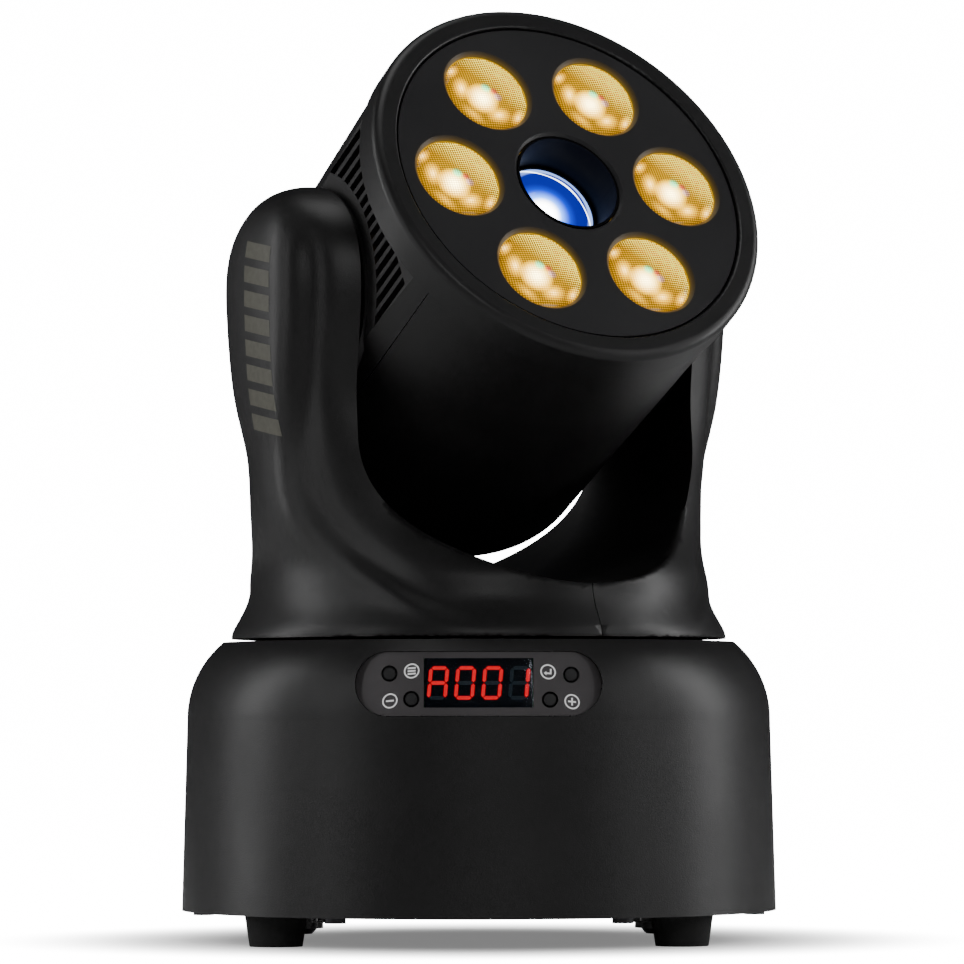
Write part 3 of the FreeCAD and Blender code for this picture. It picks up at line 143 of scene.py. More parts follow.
def room():
    """A world that is dim in front, brighter at the sides, and white paper where it is seen directly."""
    world = bpy.data.worlds.new("studio")
    bpy.context.scene.world = world
    world.use_nodes = True
    tree = world.node_tree
    tree.nodes.clear()
    out = tree.nodes.new("ShaderNodeOutputWorld")
    place = tree.nodes.new("ShaderNodeTexCoord")
    split = tree.nodes.new("ShaderNodeSeparateXYZ")
    side = tree.nodes.new("ShaderNodeMath")
    side.operation = "ABSOLUTE"
    ramp = tree.nodes.new("ShaderNodeValToRGB")
    ramp.color_ramp.elements[0].position = 0.25
    ramp.color_ramp.elements[0].color = (0.012, 0.012, 0.013, 1)
    ramp.color_ramp.elements[1].position = 0.95
    ramp.color_ramp.elements[1].color = (0.16, 0.16, 0.165, 1)
    glow = tree.nodes.new("ShaderNodeBackground")
    paper = tree.nodes.new("ShaderNodeBackground")
    paper.inputs["Strength"].default_value = WHITE_PAPER
    paper.inputs["Color"].default_value = (1, 1, 1, 1)
    choose = tree.nodes.new("ShaderNodeMixShader")
    path = tree.nodes.new("ShaderNodeLightPath")
    tree.links.new(place.outputs["Generated"], split.inputs[0])
    tree.links.new(split.outputs["X"], side.inputs[0])
    tree.links.new(side.outputs[0], ramp.inputs[0])
    tree.links.new(ramp.outputs["Color"], glow.inputs["Color"])
    tree.links.new(path.outputs["Is Camera Ray"], choose.inputs[0])
    tree.links.new(glow.outputs[0], choose.inputs[1])
    tree.links.new(paper.outputs[0], choose.inputs[2])
    tree.links.new(choose.outputs[0], out.inputs["Surface"])


def soft_box(name, place, aim, width, height, power, tint=(1, 1, 1)):
    """A rectangular studio light, turned to face a point."""
    data = bpy.data.lights.new(name, "AREA")
    data.shape = "RECTANGLE"
    data.size, data.size_y = width, height
    data.energy = power
    data.color = tint
    light = bpy.data.objects.new(name, data)
    bpy.context.scene.collection.objects.link(light)
    light.location = place
    light.rotation_mode = "QUATERNION"
    light.rotation_quaternion = (Vector(aim) - Vector(place)).to_track_quat("-Z", "Y")
    return light


room()
MIDDLE = Vector((0, 0, 0.5 * (cad_box[0][2] + cad_box[1][2])))
soft_box("left_soft_box", (-1.0, 0.12, 0.32), MIDDLE, 0.22, 1.1, 3.9)
soft_box("right_soft_box", (1.0, 0.16, 0.32), MIDDLE, 0.22, 1.1, 5.2)
soft_box("left_front_strip", (-0.85, -0.55, 0.45), MIDDLE, 0.14, 0.9, 1.5)
soft_box("right_front_strip", (0.90, -0.50, 0.40), MIDDLE, 0.14, 0.9, 1.3)
soft_box("top_soft_box", (0.0, 0.0, 1.3), MIDDLE, 0.7, 0.7, 3.2)
soft_box("front_fill", (0.2, -1.9, 0.9), MIDDLE, 0.9, 0.5, 5.2)
print("six soft boxes round the light")

# %% [markdown]
# The floor is pale paper. It glows a little itself, as a sheet lit from below does, so it meets the background
# without a line. Near the feet its glow is painted dimmer, as a painted shadow under the light.

# %% Floor
FLOOR_HALF = 6.0
SHADOW_INNER = 0.050
SHADOW_OUTER = 0.150
SHADOW_LEVEL = 0.22


def paper_floor():
    """A wide sheet under the light, as part of the stage."""
    mesh = bpy.data.meshes.new("paper_floor")
    corners = [(-FLOOR_HALF, -FLOOR_HALF, 0), (FLOOR_HALF, -FLOOR_HALF, 0),
               (FLOOR_HALF, FLOOR_HALF, 0), (-FLOOR_HALF, FLOOR_HALF, 0)]
    mesh.from_pydata(corners, [], [(0, 1, 2, 3)])
    floor = bpy.data.objects.new("paper_floor", mesh)
    bpy.context.scene.collection.objects.link(floor)
    floor.location = (0, 0, cad_box[0][2] - 0.02 * MM)
    paper = bpy.data.materials.new("paper")
    paper.use_nodes = True
    tree = paper.node_tree
    shader = tree.nodes["Principled BSDF"]
    shader.inputs["Base Color"].default_value = (0.9, 0.9, 0.9, 1)
    shader.inputs["Roughness"].default_value = 0.9
    shader.inputs["Emission Color"].default_value = (1, 1, 1, 1)
    place = tree.nodes.new("ShaderNodeTexCoord")
    away = tree.nodes.new("ShaderNodeVectorMath")
    away.operation = "LENGTH"
    tree.links.new(place.outputs["Object"], away.inputs[0])
    # Painted shadow: the floor's glow fades towards the middle, round the light's feet.
    share = tree.nodes.new("ShaderNodeMapRange")
    share.interpolation_type = "SMOOTHSTEP"
    share.inputs["From Min"].default_value = SHADOW_INNER
    share.inputs["From Max"].default_value = SHADOW_OUTER
    level = tree.nodes.new("ShaderNodeMath")
    level.operation = "POWER"
    level.inputs[0].default_value = WHITE_PAPER / SHADOW_LEVEL
    dim = tree.nodes.new("ShaderNodeMath")
    dim.operation = "MULTIPLY"
    dim.inputs[1].default_value = SHADOW_LEVEL
    tree.links.new(away.outputs["Value"], share.inputs["Value"])
    tree.links.new(share.outputs[0], level.inputs[1])
    tree.links.new(level.outputs[0], dim.inputs[0])
    light_path = tree.nodes.new("ShaderNodeLightPath")
    seen = tree.nodes.new("ShaderNodeMath")
    seen.operation = "MULTIPLY"
    tree.links.new(dim.outputs[0], seen.inputs[0])
    tree.links.new(light_path.outputs["Is Camera Ray"], seen.inputs[1])
    tree.links.new(seen.outputs[0], shader.inputs["Emission Strength"])
    mesh.materials.append(paper)
    return floor


paper_floor()
print("floor", 2 * FLOOR_HALF, "m across")

# %% [markdown]
# Every finish starts the same way: a material whose main shader takes a colour, a roughness and a few
# constant settings. A small helper class keeps the wiring readable: `add` makes a node, and each
# input is given either a plain value or another node's output.

# %% A helper for finishes
class Finish:
    """One material: its shader, and a short way to add wired nodes."""

    def __init__(self, name, colour, roughness, **settings):
        self.material = bpy.data.materials.new(name)
        self.material.use_nodes = True
        self.tree = self.material.node_tree
        self.shader = self.tree.nodes["Principled BSDF"]
        self.put("Base Color", (*colour, 1))
        self.put("Roughness", roughness)
        for words, value in settings.items():
            self.put(words.replace("_", " "), value)

    def put(self, socket, value):
        """Sets or wires one socket of the shader."""
        self.join(self.shader.inputs[socket], value)

    def join(self, socket, value):
        if isinstance(value, bpy.types.NodeSocket):
            self.tree.links.new(value, socket)
        else:
            socket.default_value = value

    def add(self, kind, *values, out=0, **settings):
        """A node of a kind, its inputs filled in order, and its wanted output."""
        node = self.tree.nodes.new("ShaderNode" + kind)
        for name, value in settings.items():
            setattr(node, name, value)
        for socket, value in zip(node.inputs, values):
            if value is not None:
                self.join(socket, value)
        return node.outputs[out]

    def sum(self, operation, *values):
        """A sum on numbers, such as MULTIPLY or ADD."""
        return self.add("Math", *values, operation=operation)

    def noise(self, scale, detail=4.0, roughness=0.55):
        """Soft random mottling; the scale is in blotches per metre."""
        place = self.add("TexCoord", out="Object")
        node = self.tree.nodes.new("ShaderNodeTexNoise")
        self.tree.links.new(place, node.inputs["Vector"])
        node.inputs["Scale"].default_value = scale
        node.inputs["Detail"].default_value = detail
        node.inputs["Roughness"].default_value = roughness
        return node.outputs[0]

    def between(self, value, low, high, start=0.0, end=1.0):
        """Stretches a value from start..end to low..high."""
        node = self.tree.nodes.new("ShaderNodeMapRange")
        for name, number in (("Value", value), ("From Min", start), ("From Max", end),
                             ("To Min", low), ("To Max", high)):
            self.join(node.inputs[name], number)
        return node.outputs[0]

    def ramp(self, value, *stops):
        """Colours along a value: each stop is (position, (red, green, blue))."""
        node = self.tree.nodes.new("ShaderNodeValToRGB")
        elements = node.color_ramp.elements
        while len(elements) < len(stops):
            elements.new(0.5)
        for element, (position, colour) in zip(elements, stops):
            element.position = position
            element.color = (*colour, 1)
        self.tree.links.new(value, node.inputs[0])
        return node.outputs[0]

    def blend(self, share, first, second):
        """Mixes two colours."""
        node = self.tree.nodes.new("ShaderNodeMix")
        node.data_type = "RGBA"
        self.join(node.inputs["Factor"], share)
        self.join(node.inputs[6], first)
        self.join(node.inputs[7], second)
        return node.outputs[2]

    def rough_skin(self, height, depth, strength=1.0):
        """Small relief from a height, with a real depth in metres."""
        node = self.tree.nodes.new("ShaderNodeBump")
        node.inputs["Strength"].default_value = strength
        node.inputs["Distance"].default_value = depth
        self.tree.links.new(height, node.inputs["Height"])
        self.put("Normal", node.outputs[0])


FINISHES = {}
print("helper ready")

# %% [markdown]
# The casings are moulded black plastic with a fine spark-eroded grain: a matt, slightly uneven skin
# that breaks highlights into a soft sheen. Handling polishes it a little in patches, so the
# roughness drifts. The ring round the lenses and the face behind it are the same plastic, smoother.

# %% Black plastics
GRAIN = 2600.0


def black_moulding(name, colour, low, high, grain_depth, level=0.5):
    """Black plastic whose gloss drifts between two roughnesses, with a fine moulded grain."""
    made = Finish(name, colour, high, Specular_IOR_Level=level)
    drift = made.noise(16.0, 3.0)
    made.put("Roughness", made.between(drift, low, high, 0.3, 0.7))
    deep = tuple(0.72 * c for c in colour)
    lift = tuple(min(1.0, 1.3 * c) for c in colour)
    made.put("Base Color", made.ramp(made.noise(42.0, 5.0), (0.3, deep), (0.7, lift)))
    made.rough_skin(made.noise(GRAIN, 2.0, 0.7), grain_depth, 0.55)
    return made.material


FINISHES["body_plastic"] = black_moulding("moulded_black", (0.0080, 0.0076, 0.0079),
                                          0.35, 0.45, 0.00007, 0.42)
FINISHES["ring_plastic"] = black_moulding("ring_black", (0.0085, 0.0082, 0.0086), 0.34, 0.44, 0.00005, 0.42)
FINISHES["button_black"] = black_moulding("button_black", (0.016, 0.016, 0.017), 0.34, 0.46, 0.00004)
FINISHES["rubber"] = black_moulding("foot_rubber", (0.014, 0.014, 0.014), 0.72, 0.85, 0.00018, 0.30)
FINISHES["belt_rubber"] = black_moulding("belt_rubber", (0.018, 0.018, 0.018), 0.62, 0.75, 0.00012, 0.35)
FINISHES["socket_black"] = black_moulding("socket_black", (0.013, 0.013, 0.014), 0.22, 0.34, 0.00003)
FINISHES["display_black"] = black_moulding("display_black", (0.002, 0.003, 0.005), 0.20, 0.28, 0.00001, 0.3)
print(len(FINISHES), "black finishes")

# %% [markdown]
# The face behind the lenses has a painted halo of amber round each lit lens: a faint glow in its own finish,
# standing in for light that creeps over the lip and onto the black plastic. Painting six rings would do, but the
# six lenses are evenly spaced round the middle, so the distance to the nearest one follows from the angle alone.

# %% Lens places and the painted halo on the face
LENS_COUNT = 6


def lens_centre(number):
    """A wash lens's middle in the head's frame, from its CAD node."""
    low, high = reach(f"wash_lens_{number}", HEAD)
    return 0.5 * (low + high), 0.5 * (high.x - low.x), high.z


first_centre, LENS_RADIUS, _ = lens_centre(1)
LENS_CIRCLE = math.hypot(first_centre.x, first_centre.y)
PAINTED_HALO_WIDTH = 2.2 * MM


def head_place(made):
    """Place on the head in its own frame: three values, in metres."""
    place = made.add("TexCoord", out="Object")
    away = made.add("VectorMath", place, tuple(tilt_centre), operation="SUBTRACT")
    return [made.add("VectorMath", away, tuple(axis), operation="DOT_PRODUCT", out="Value")
            for axis in (across, shine.cross(across), shine)]


def face_with_painted_halo():
    made = Finish("face_black_painted_halo", (0.0125, 0.0120, 0.0135), 0.42, Specular_IOR_Level=0.42)
    made.put("Roughness", made.between(made.noise(20.0, 3.0), 0.38, 0.50, 0.3, 0.7))
    x, y, _ = head_place(made)
    angle = made.sum("ARCTAN2", y, x)
    share = 2 * math.pi / LENS_COUNT
    from_lens = made.sum("PINGPONG", angle, share / 2)
    radius = made.sum("SQRT", made.sum("ADD", made.sum("MULTIPLY", x, x), made.sum("MULTIPLY", y, y)))
    sideways = made.sum("MULTIPLY", radius, made.sum("SINE", from_lens))
    outward = made.sum("SUBTRACT", made.sum("MULTIPLY", radius, made.sum("COSINE", from_lens)), LENS_CIRCLE)
    distance = made.sum("SQRT", made.sum("ADD", made.sum("MULTIPLY", sideways, sideways),
                                         made.sum("MULTIPLY", outward, outward)))
    # Painted halo: amber emission on the face round each lens, standing in for light from the lens.
    painted_halo = made.between(distance, 1.0, 0.0, LENS_RADIUS + 0.3 * MM, LENS_RADIUS + PAINTED_HALO_WIDTH)
    made.put("Emission Color", (1.0, 0.55, 0.03, 1))
    made.put("Emission Strength", made.sum("MULTIPLY", made.sum("POWER", painted_halo, 3.0), 0.10))
    made.rough_skin(made.noise(3200.0, 2.0), 0.00004, 0.4)
    return made.material


FINISHES["face_plastic"] = face_with_painted_halo()
print(LENS_COUNT, "lenses on a circle of", round(LENS_CIRCLE / MM, 1), "mm")

# %% [markdown]
# Metals need little colour and much gloss control. Zinc plate is bright with a cloudy drift, turned aluminium is
# paler with a finer drift, and powder coat is a black orange-peel skin.

# %% Metals and boards
def metal(name, colour, low, high, scale, depth):
    made = Finish(name, colour, low, Metallic=1.0)
    cloud = made.noise(scale, 4.0)
    made.put("Roughness", made.between(cloud, low, high, 0.3, 0.7))
    dark = tuple(0.8 * c for c in colour)
    made.put("Base Color", made.ramp(cloud, (0.3, dark), (0.7, colour)))
    made.rough_skin(made.noise(scale * 6, 3.0), depth, 0.5)
    return made.material


def circuit_board():
    """Green solder resist over copper tracks, which show as slightly paler lanes."""
    made = Finish("solder_resist", (0.01, 0.09, 0.03), 0.3)
    place = made.add("TexCoord", out="Object")
    lanes = made.add("TexBrick", place, out="Color")
    brick = lanes.node
    brick.inputs["Color1"].default_value = (0.010, 0.085, 0.030, 1)
    brick.inputs["Color2"].default_value = (0.014, 0.115, 0.040, 1)
    brick.inputs["Mortar"].default_value = (0.030, 0.190, 0.070, 1)
    brick.inputs["Scale"].default_value = 260.0
    brick.inputs["Mortar Size"].default_value = 0.05
    made.put("Base Color", lanes)
    made.rough_skin(made.noise(900.0, 2.0), 0.00003, 0.4)
    return made.material


FINISHES["steel"] = metal("zinc_plate", (0.56, 0.56, 0.57), 0.26, 0.40, 90.0, 0.00002)
FINISHES["aluminium"] = metal("turned_aluminium", (0.74, 0.74, 0.76), 0.22, 0.36, 140.0, 0.00002)
FINISHES["black_steel"] = black_moulding("powder_coat", (0.012, 0.012, 0.013), 0.38, 0.50, 0.00012)
BLACK_ZINC = metal("black_zinc", (0.055, 0.055, 0.058), 0.34, 0.48, 90.0, 0.00002)
FINISHES["led_white"] = black_moulding("white_resist", (0.62, 0.62, 0.59), 0.30, 0.42, 0.00002)
FINISHES["circuit"] = circuit_board()
print("metals and boards ready")

# %% [markdown]
# The control panel is a dark warm grey label with a fine printed grain. Its printing, the ring icons, is laid on
# later as thin raised ink.

# %% Panel, window and gloss finishes
def panel_film():
    made = Finish("panel_grey", (0.075, 0.070, 0.072), 0.45)
    made.put("Base Color", made.ramp(made.noise(60.0, 4.0), (0.3, (0.062, 0.057, 0.060)),
                                     (0.7, (0.074, 0.068, 0.071))))
    made.put("Roughness", made.between(made.noise(25.0), 0.42, 0.52, 0.3, 0.7))
    made.rough_skin(made.noise(4000.0, 2.0), 0.00003, 0.5)
    return made.material


def smoked_window():
    """A thin clear pane: mostly see-through, with a smoke tint and a clean gloss."""
    made = Finish("smoked_window", (0.006, 0.012, 0.022), 0.04, Alpha=0.16)
    made.put("Roughness", made.between(made.noise(30.0), 0.03, 0.06, 0.3, 0.7))
    return made.material


def gloss_black():
    made = Finish("gloss_black", (0.003, 0.003, 0.0035), 0.50, Specular_IOR_Level=0.04)
    made.put("Roughness", made.between(made.noise(60.0), 0.42, 0.52, 0.3, 0.7))
    made.put("Base Color", made.ramp(made.noise(90.0), (0.3, (0.0015, 0.0015, 0.002)),
                                     (0.7, (0.003, 0.003, 0.0035))))
    return made.material


FINISHES["panel_film"] = panel_film()
FINISHES["window"] = smoked_window()
FINISHES["gloss_black"] = gloss_black()
print("panel, window and gloss ready")

# %% [markdown]
# A lit wash lens isn't one colour. Its front is a fine grid of little pillows. Looked into from the
# side, it shows a white heart where the chip's light lands, a few bright patches from the faces of
# the collimator, and between them amber that darkens to brown where the light misses the eye. The
# mesh carries a map with the place on the lens in millimetres, and the finish draws by that map.

# %% Amber lens finish
def spot(made, u, v, place, radius, softness=1.0):
    """1 in the middle of a round patch, 0 outside it."""
    du = made.sum("SUBTRACT", u, place[0])
    dv = made.sum("SUBTRACT", v, place[1])
    away = made.sum("SQRT", made.sum("ADD", made.sum("MULTIPLY", du, du), made.sum("MULTIPLY", dv, dv)))
    return made.between(away, 1.0, 0.0, radius * (1 - softness), radius)


def streak(made, u, v, place, angle, length, width):
    """1 in the middle of a long soft patch that points along an angle in degrees."""
    c, s = math.cos(math.radians(angle)), math.sin(math.radians(angle))
    du = made.sum("SUBTRACT", u, place[0])
    dv = made.sum("SUBTRACT", v, place[1])
    along = made.sum("DIVIDE", made.sum("ADD", made.sum("MULTIPLY", du, c),
                                        made.sum("MULTIPLY", dv, s)), length)
    beside = made.sum("DIVIDE", made.sum("SUBTRACT", made.sum("MULTIPLY", dv, c),
                                         made.sum("MULTIPLY", du, s)), width)
    away = made.sum("SQRT", made.sum("ADD", made.sum("MULTIPLY", along, along),
                                     made.sum("MULTIPLY", beside, beside)))
    return made.sum("POWER", made.between(away, 1.0, 0.0), 1.4)


PILLOW_PITCH = 0.74
GLARE_SIDE = 222.6
# where each coloured chip shows through, how wide, and its tint
CHIPS = [((-0.2, 1.3), 1.9, (0.22, 1.0, 0.38, 1)),
         ((2.3, 0.2), 1.5, (1.0, 0.16, 0.07, 1)),
         ((3.0, -1.7), 1.6, (1.0, 0.55, 0.45, 1))]


def amber_lens():
    made = Finish("amber_lens", (0.50, 0.30, 0.02), 0.10)
    u = made.add("SeparateXYZ", made.add("UVMap", uv_map="lens_map"))
    v = u.node.outputs[1]
    radius = made.sum("SQRT", made.sum("ADD", made.sum("MULTIPLY", u, u), made.sum("MULTIPLY", v, v)))
    c, s = math.cos(math.radians(GLARE_SIDE)), math.sin(math.radians(GLARE_SIDE))
    toward = made.sum("ADD", made.sum("MULTIPLY", u, c), made.sum("MULTIPLY", v, s))
    # bright dots of the pillow grid, strongest on the side away from the glare
    turn = math.pi / PILLOW_PITCH
    dots = made.sum("ABSOLUTE", made.sum("MULTIPLY", made.sum("SINE", made.sum("MULTIPLY", u, turn)),
                                         made.sum("SINE", made.sum("MULTIPLY", v, turn))))
    shade_side = made.between(toward, 1.0, 0.0, -8.5, -1.5)
    cloudy = made.between(made.noise(260.0, 3.0), 0.0, 1.0, 0.35, 0.65)
    dark_share = made.sum("MULTIPLY", shade_side, made.between(cloudy, 0.75, 1.0))
    base = made.ramp(radius, (0.0, (1.0, 0.56, 0.0)), (0.5, (1.0, 0.50, 0.0)),
                     (0.85, (0.84, 0.40, 0.0)), (1.0, (0.45, 0.20, 0.0)))
    base.node.color_ramp.interpolation = "EASE"
    made.tree.links.new(made.sum("DIVIDE", radius, LENS_RADIUS / MM), base.node.inputs[0])
    grid = made.ramp(dots, (0.22, (0.004, 0.0015, 0.0)), (0.48, (0.42, 0.20, 0.0)), (0.82, (5.0, 3.6, 0.30)))
    colour = made.blend(dark_share, base, grid)
    light_grid = made.between(dots, 0.12, 2.1)
    patches = [
        (spot(made, u, v, (-2.2, -2.4), 5.4, 0.95), 5.0),
        (streak(made, u, v, (-8.0, 1.0), 82, 4.6, 3.0), 2.4),
        (streak(made, u, v, (1.9, -7.9), 8, 4.6, 3.0), 2.2),
        (streak(made, u, v, (8.4, -8.2), 46, 4.0, 2.2), 2.2),
        (streak(made, u, v, (-9.4, 7.4), 46, 3.6, 2.2), 2.2),
        (streak(made, u, v, (-6.4, -7.8), -48, 5.0, 2.0), 1.0),
    ]
    white = None
    for patch, strength in patches:
        part = made.sum("MULTIPLY", patch, strength)
        white = part if white is None else made.sum("ADD", white, part)
    whiteness = made.between(white, 0.0, 1.0, 0.9, 4.2)
    colour = made.blend(whiteness, colour, (1.0, 0.80, 0.34, 1))
    for place, size, tint in CHIPS:
        chip = made.sum("MULTIPLY", spot(made, u, v, place, size, 0.6), 0.95)
        colour = made.blend(chip, colour, tint)
    made.put("Emission Color", colour)
    strength = made.sum("MULTIPLY", made.sum("ADD", made.sum("MULTIPLY", white, 2.3), 0.80), light_grid)
    made.put("Emission Strength", strength)
    made.put("Base Color", (0.10, 0.045, 0.0, 1))
    return made.material


FINISHES["amber_lens"] = amber_lens()
print("amber lens finish, pillows of", PILLOW_PITCH, "mm")

# %% [markdown]
# The beam lens in the middle is a deep dome lit blue from behind. From the front it shows a white
# hot spot on the near side, saturated blue round it, and pale crescents near its rim where the
# edge of the glass catches the lamp.

# %% Blue beam lens finish
def beam_glass():
    made = Finish("beam_glass", (0.01, 0.03, 0.25), 0.04, Coat_Weight=0.6, Coat_Roughness=0.03)
    made.put("Roughness", made.between(made.noise(80.0), 0.03, 0.07, 0.3, 0.7))
    u = made.add("SeparateXYZ", made.add("UVMap", uv_map="lens_map"))
    v = u.node.outputs[1]
    radius = made.sum("SQRT", made.sum("ADD", made.sum("MULTIPLY", u, u), made.sum("MULTIPLY", v, v)))
    c, s = math.cos(math.radians(GLARE_SIDE)), math.sin(math.radians(GLARE_SIDE))
    toward = made.sum("ADD", made.sum("MULTIPLY", u, c), made.sum("MULTIPLY", v, s))
    hot = spot(made, u, v, (-4.6, -4.4), 11.5, 0.72)
    colour = made.ramp(hot, (0.0, (0.0, 0.008, 0.45)), (0.32, (0.0, 0.045, 1.0)),
                       (0.66, (0.10, 0.30, 1.0)), (0.86, (1.0, 1.0, 1.0)))
    strength = made.sum("ADD", made.sum("MULTIPLY", made.sum("POWER", hot, 3.0), 14.0), 1.0)
    far_side = made.between(toward, 1.0, 0.0, -7.0, 1.5)
    rim = made.sum("MULTIPLY", made.between(made.sum("ABSOLUTE", made.sum("SUBTRACT", radius, 13.6)),
                                            1.0, 0.0, 0.7, 1.6), far_side)
    bow = made.sum("SQRT", made.sum("ADD", made.sum("POWER", made.sum("ADD", u, 7.0), 2.0),
                                    made.sum("POWER", made.sum("ADD", v, 6.0), 2.0)))
    narrow = made.between(toward, 0.15, 0.85, -9.5, -11.5)
    inner = made.sum("MULTIPLY", made.between(made.sum("ABSOLUTE", made.sum("SUBTRACT", bow, 19.4)),
                                              1.0, 0.0, narrow, made.sum("ADD", narrow, 0.3)), far_side)
    colour = made.blend(made.sum("MULTIPLY", rim, 0.85), colour, (0.30, 0.48, 1.0, 1))
    colour = made.blend(inner, colour, (0.85, 0.93, 1.0, 1))
    strength = made.sum("ADD", strength, made.sum("ADD", made.sum("MULTIPLY", rim, 1.6),
                                                  made.sum("MULTIPLY", inner, 5.0)))
    made.put("Emission Color", colour)
    made.put("Emission Strength", strength)
    return made.material


FINISHES["beam_glass"] = beam_glass()
print("beam lens finish ready")

# %% [markdown]
# Each CAD node already names the kind of stuff it is made of, its material slot in the record. So
# one loop dresses all of them, and nothing is left in a plain colour.

# %% Dress the CAD nodes
BLACKENED = ("foot_screws", "plate_screws")
slots = {part["node"]: part["material_slot"] for part in frame["record"]["subparts"]}
for node, piece_ in nodes.items():
    piece_.data.materials.clear()
    piece_.data.materials.append(BLACK_ZINC if node in BLACKENED else FINISHES[slots[node]])
print("dressed", len(slots), "nodes in", len(set(slots.values())), "finishes")

# %% [markdown]
# Bevel-free shapes look drawn, not made. The new pieces come from three small tools: one links
# points and faces into a piece that rides on a body, one turns an outline round an axis, and one
# raises a flat outline into a thin print or bar.

# %% Mesh helpers
def piece(name, points, faces, place, body, slot, finish=None, smooth=True):
    """A mesh piece from points in a slanted frame; it rides on a CAD body."""
    mesh = bpy.data.meshes.new(name)
    mesh.from_pydata([place @ Vector(p) for p in points], [], faces)
    made = bmesh.new()
    made.from_mesh(mesh)
    bmesh.ops.recalc_face_normals(made, faces=made.faces)
    made.to_mesh(mesh)
    made.free()
    if smooth:
        mesh.shade_smooth()
    mesh.materials.append(finish or FINISHES[slot])
    built = bpy.data.objects.new(name, mesh)
    bpy.context.scene.collection.objects.link(built)
    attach(built, body)
    return built


def crisp(built, angle=32):
    """Smooth shading that keeps edges sharper than an angle crisp."""
    built.data.set_sharp_from_angle(angle=math.radians(angle))
    return built


def eased(corners, radius, steps=5):
    """A closed outline whose corners are rounded by quarter-like arcs."""
    points = []
    count = len(corners)
    for k, corner in enumerate(corners):
        here = Vector(corner)
        back, on = Vector(corners[k - 1]) - here, Vector(corners[(k + 1) % count]) - here
        reach_ = min(radius, 0.45 * back.length, 0.45 * on.length)
        start, end = here + back.normalized() * reach_, here + on.normalized() * reach_
        for step in range(steps + 1):
            t = step / steps
            points.append(start * (1 - t) ** 2 + here * 2 * t * (1 - t) + end * t ** 2)
    return points


def ring_about(name, outline, place, body, slot, steps=128, centre=(0, 0), finish=None):
    """Turns a closed outline of (radius, height) points round the frame's Z axis."""
    points, faces = [], []
    count = len(outline)
    for k in range(steps):
        angle = 2 * math.pi * k / steps
        for r, h in outline:
            points.append((centre[0] + r * math.cos(angle), centre[1] + r * math.sin(angle), h))
        after = (k + 1) % steps
        for j in range(count):
            up = (j + 1) % count
            faces.append((k * count + j, after * count + j, after * count + up, k * count + up))
    return crisp(piece(name, points, faces, place, body, slot, finish))


def raised(name, outline, low, high, place, body, slot, finish=None):
    """A flat outline of (x, y) points raised from low to high along the frame's Z."""
    count = len(outline)
    points = [(x, y, low) for x, y in outline] + [(x, y, high) for x, y in outline]
    faces = [tuple(range(count))[::-1], tuple(range(count, 2 * count))]
    faces += [(k, (k + 1) % count, count + (k + 1) % count, count + k) for k in range(count)]
    return piece(name, points, faces, place, body, slot, finish, smooth=False)


def box_outline(x0, y0, x1, y1):
    return [(x0, y0), (x1, y0), (x1, y1), (x0, y1)]


print("mesh helpers ready")

# %% [markdown]
# The wash lenses: each is a shallow dome with a real pillow grid on its front, one small pyramid of
# plastic per cell, which smooth shading turns into a pillow. A round sheet of cells is cut from a
# square one by squeezing the outer points onto the rim. Under the dome a short wall runs down.

# %% Wash lenses
PILLOW_HEIGHT = 0.10 * MM
DOME_RISE = 1.25 * MM
TOP_UNDER_FACE = 0.45 * MM
FACE_FRONT = reach("face_panel", HEAD)[1].z
LENS_BACK_RADIUS = 4.2 * MM


def rim_amber():
    """The lens's side and its soft seal, lit through by the lens."""
    made = Finish("rim_amber", (0.20, 0.10, 0.005), 0.25)
    made.put("Emission Color", made.ramp(made.noise(240.0), (0.3, (0.70, 0.36, 0.0)),
                                         (0.7, (0.90, 0.50, 0.0))))
    made.put("Emission Strength", 0.85)
    return made.material


RIM_AMBER = rim_amber()


def lens_sheet(radius, top, rise, cell, relief):
    """Points and faces of a domed, pillowed disc, with a flat map in millimetres."""
    half = int(radius / cell)
    points, grid = [], {}
    for i in range(-2 * half - 1, 2 * half + 2):
        for j in range(-2 * half - 1, 2 * half + 2):
            x, y = i * cell / 2, j * cell / 2
            far = math.hypot(x, y)
            if far > radius + 0.55 * cell:
                continue
            if far > radius:
                x, y, far = x * radius / far, y * radius / far, radius
            height = top - rise * (far / radius) ** 2
            if i % 2 and j % 2 and far < radius - cell:
                height += relief
            grid[i, j] = len(points)
            points.append((x, y, height))
    faces = []
    for (i, j), a in grid.items():
        corner = [grid.get(key) for key in ((i, j), (i + 1, j), (i + 1, j + 1), (i, j + 1))]
        if None not in corner:
            faces.append(tuple(corner))
    return points, faces


def lay_map(built, place, centre):
    """Writes each corner's place on the lens, in millimetres, as the map named lens_map."""
    back = place.inverted()
    layer = built.data.uv_layers.new(name="lens_map")
    for loop in built.data.loops:
        p = back @ built.data.vertices[loop.vertex_index].co
        layer.data[loop.index].uv = ((p.x - centre.x) / MM, (p.y - centre.y) / MM)


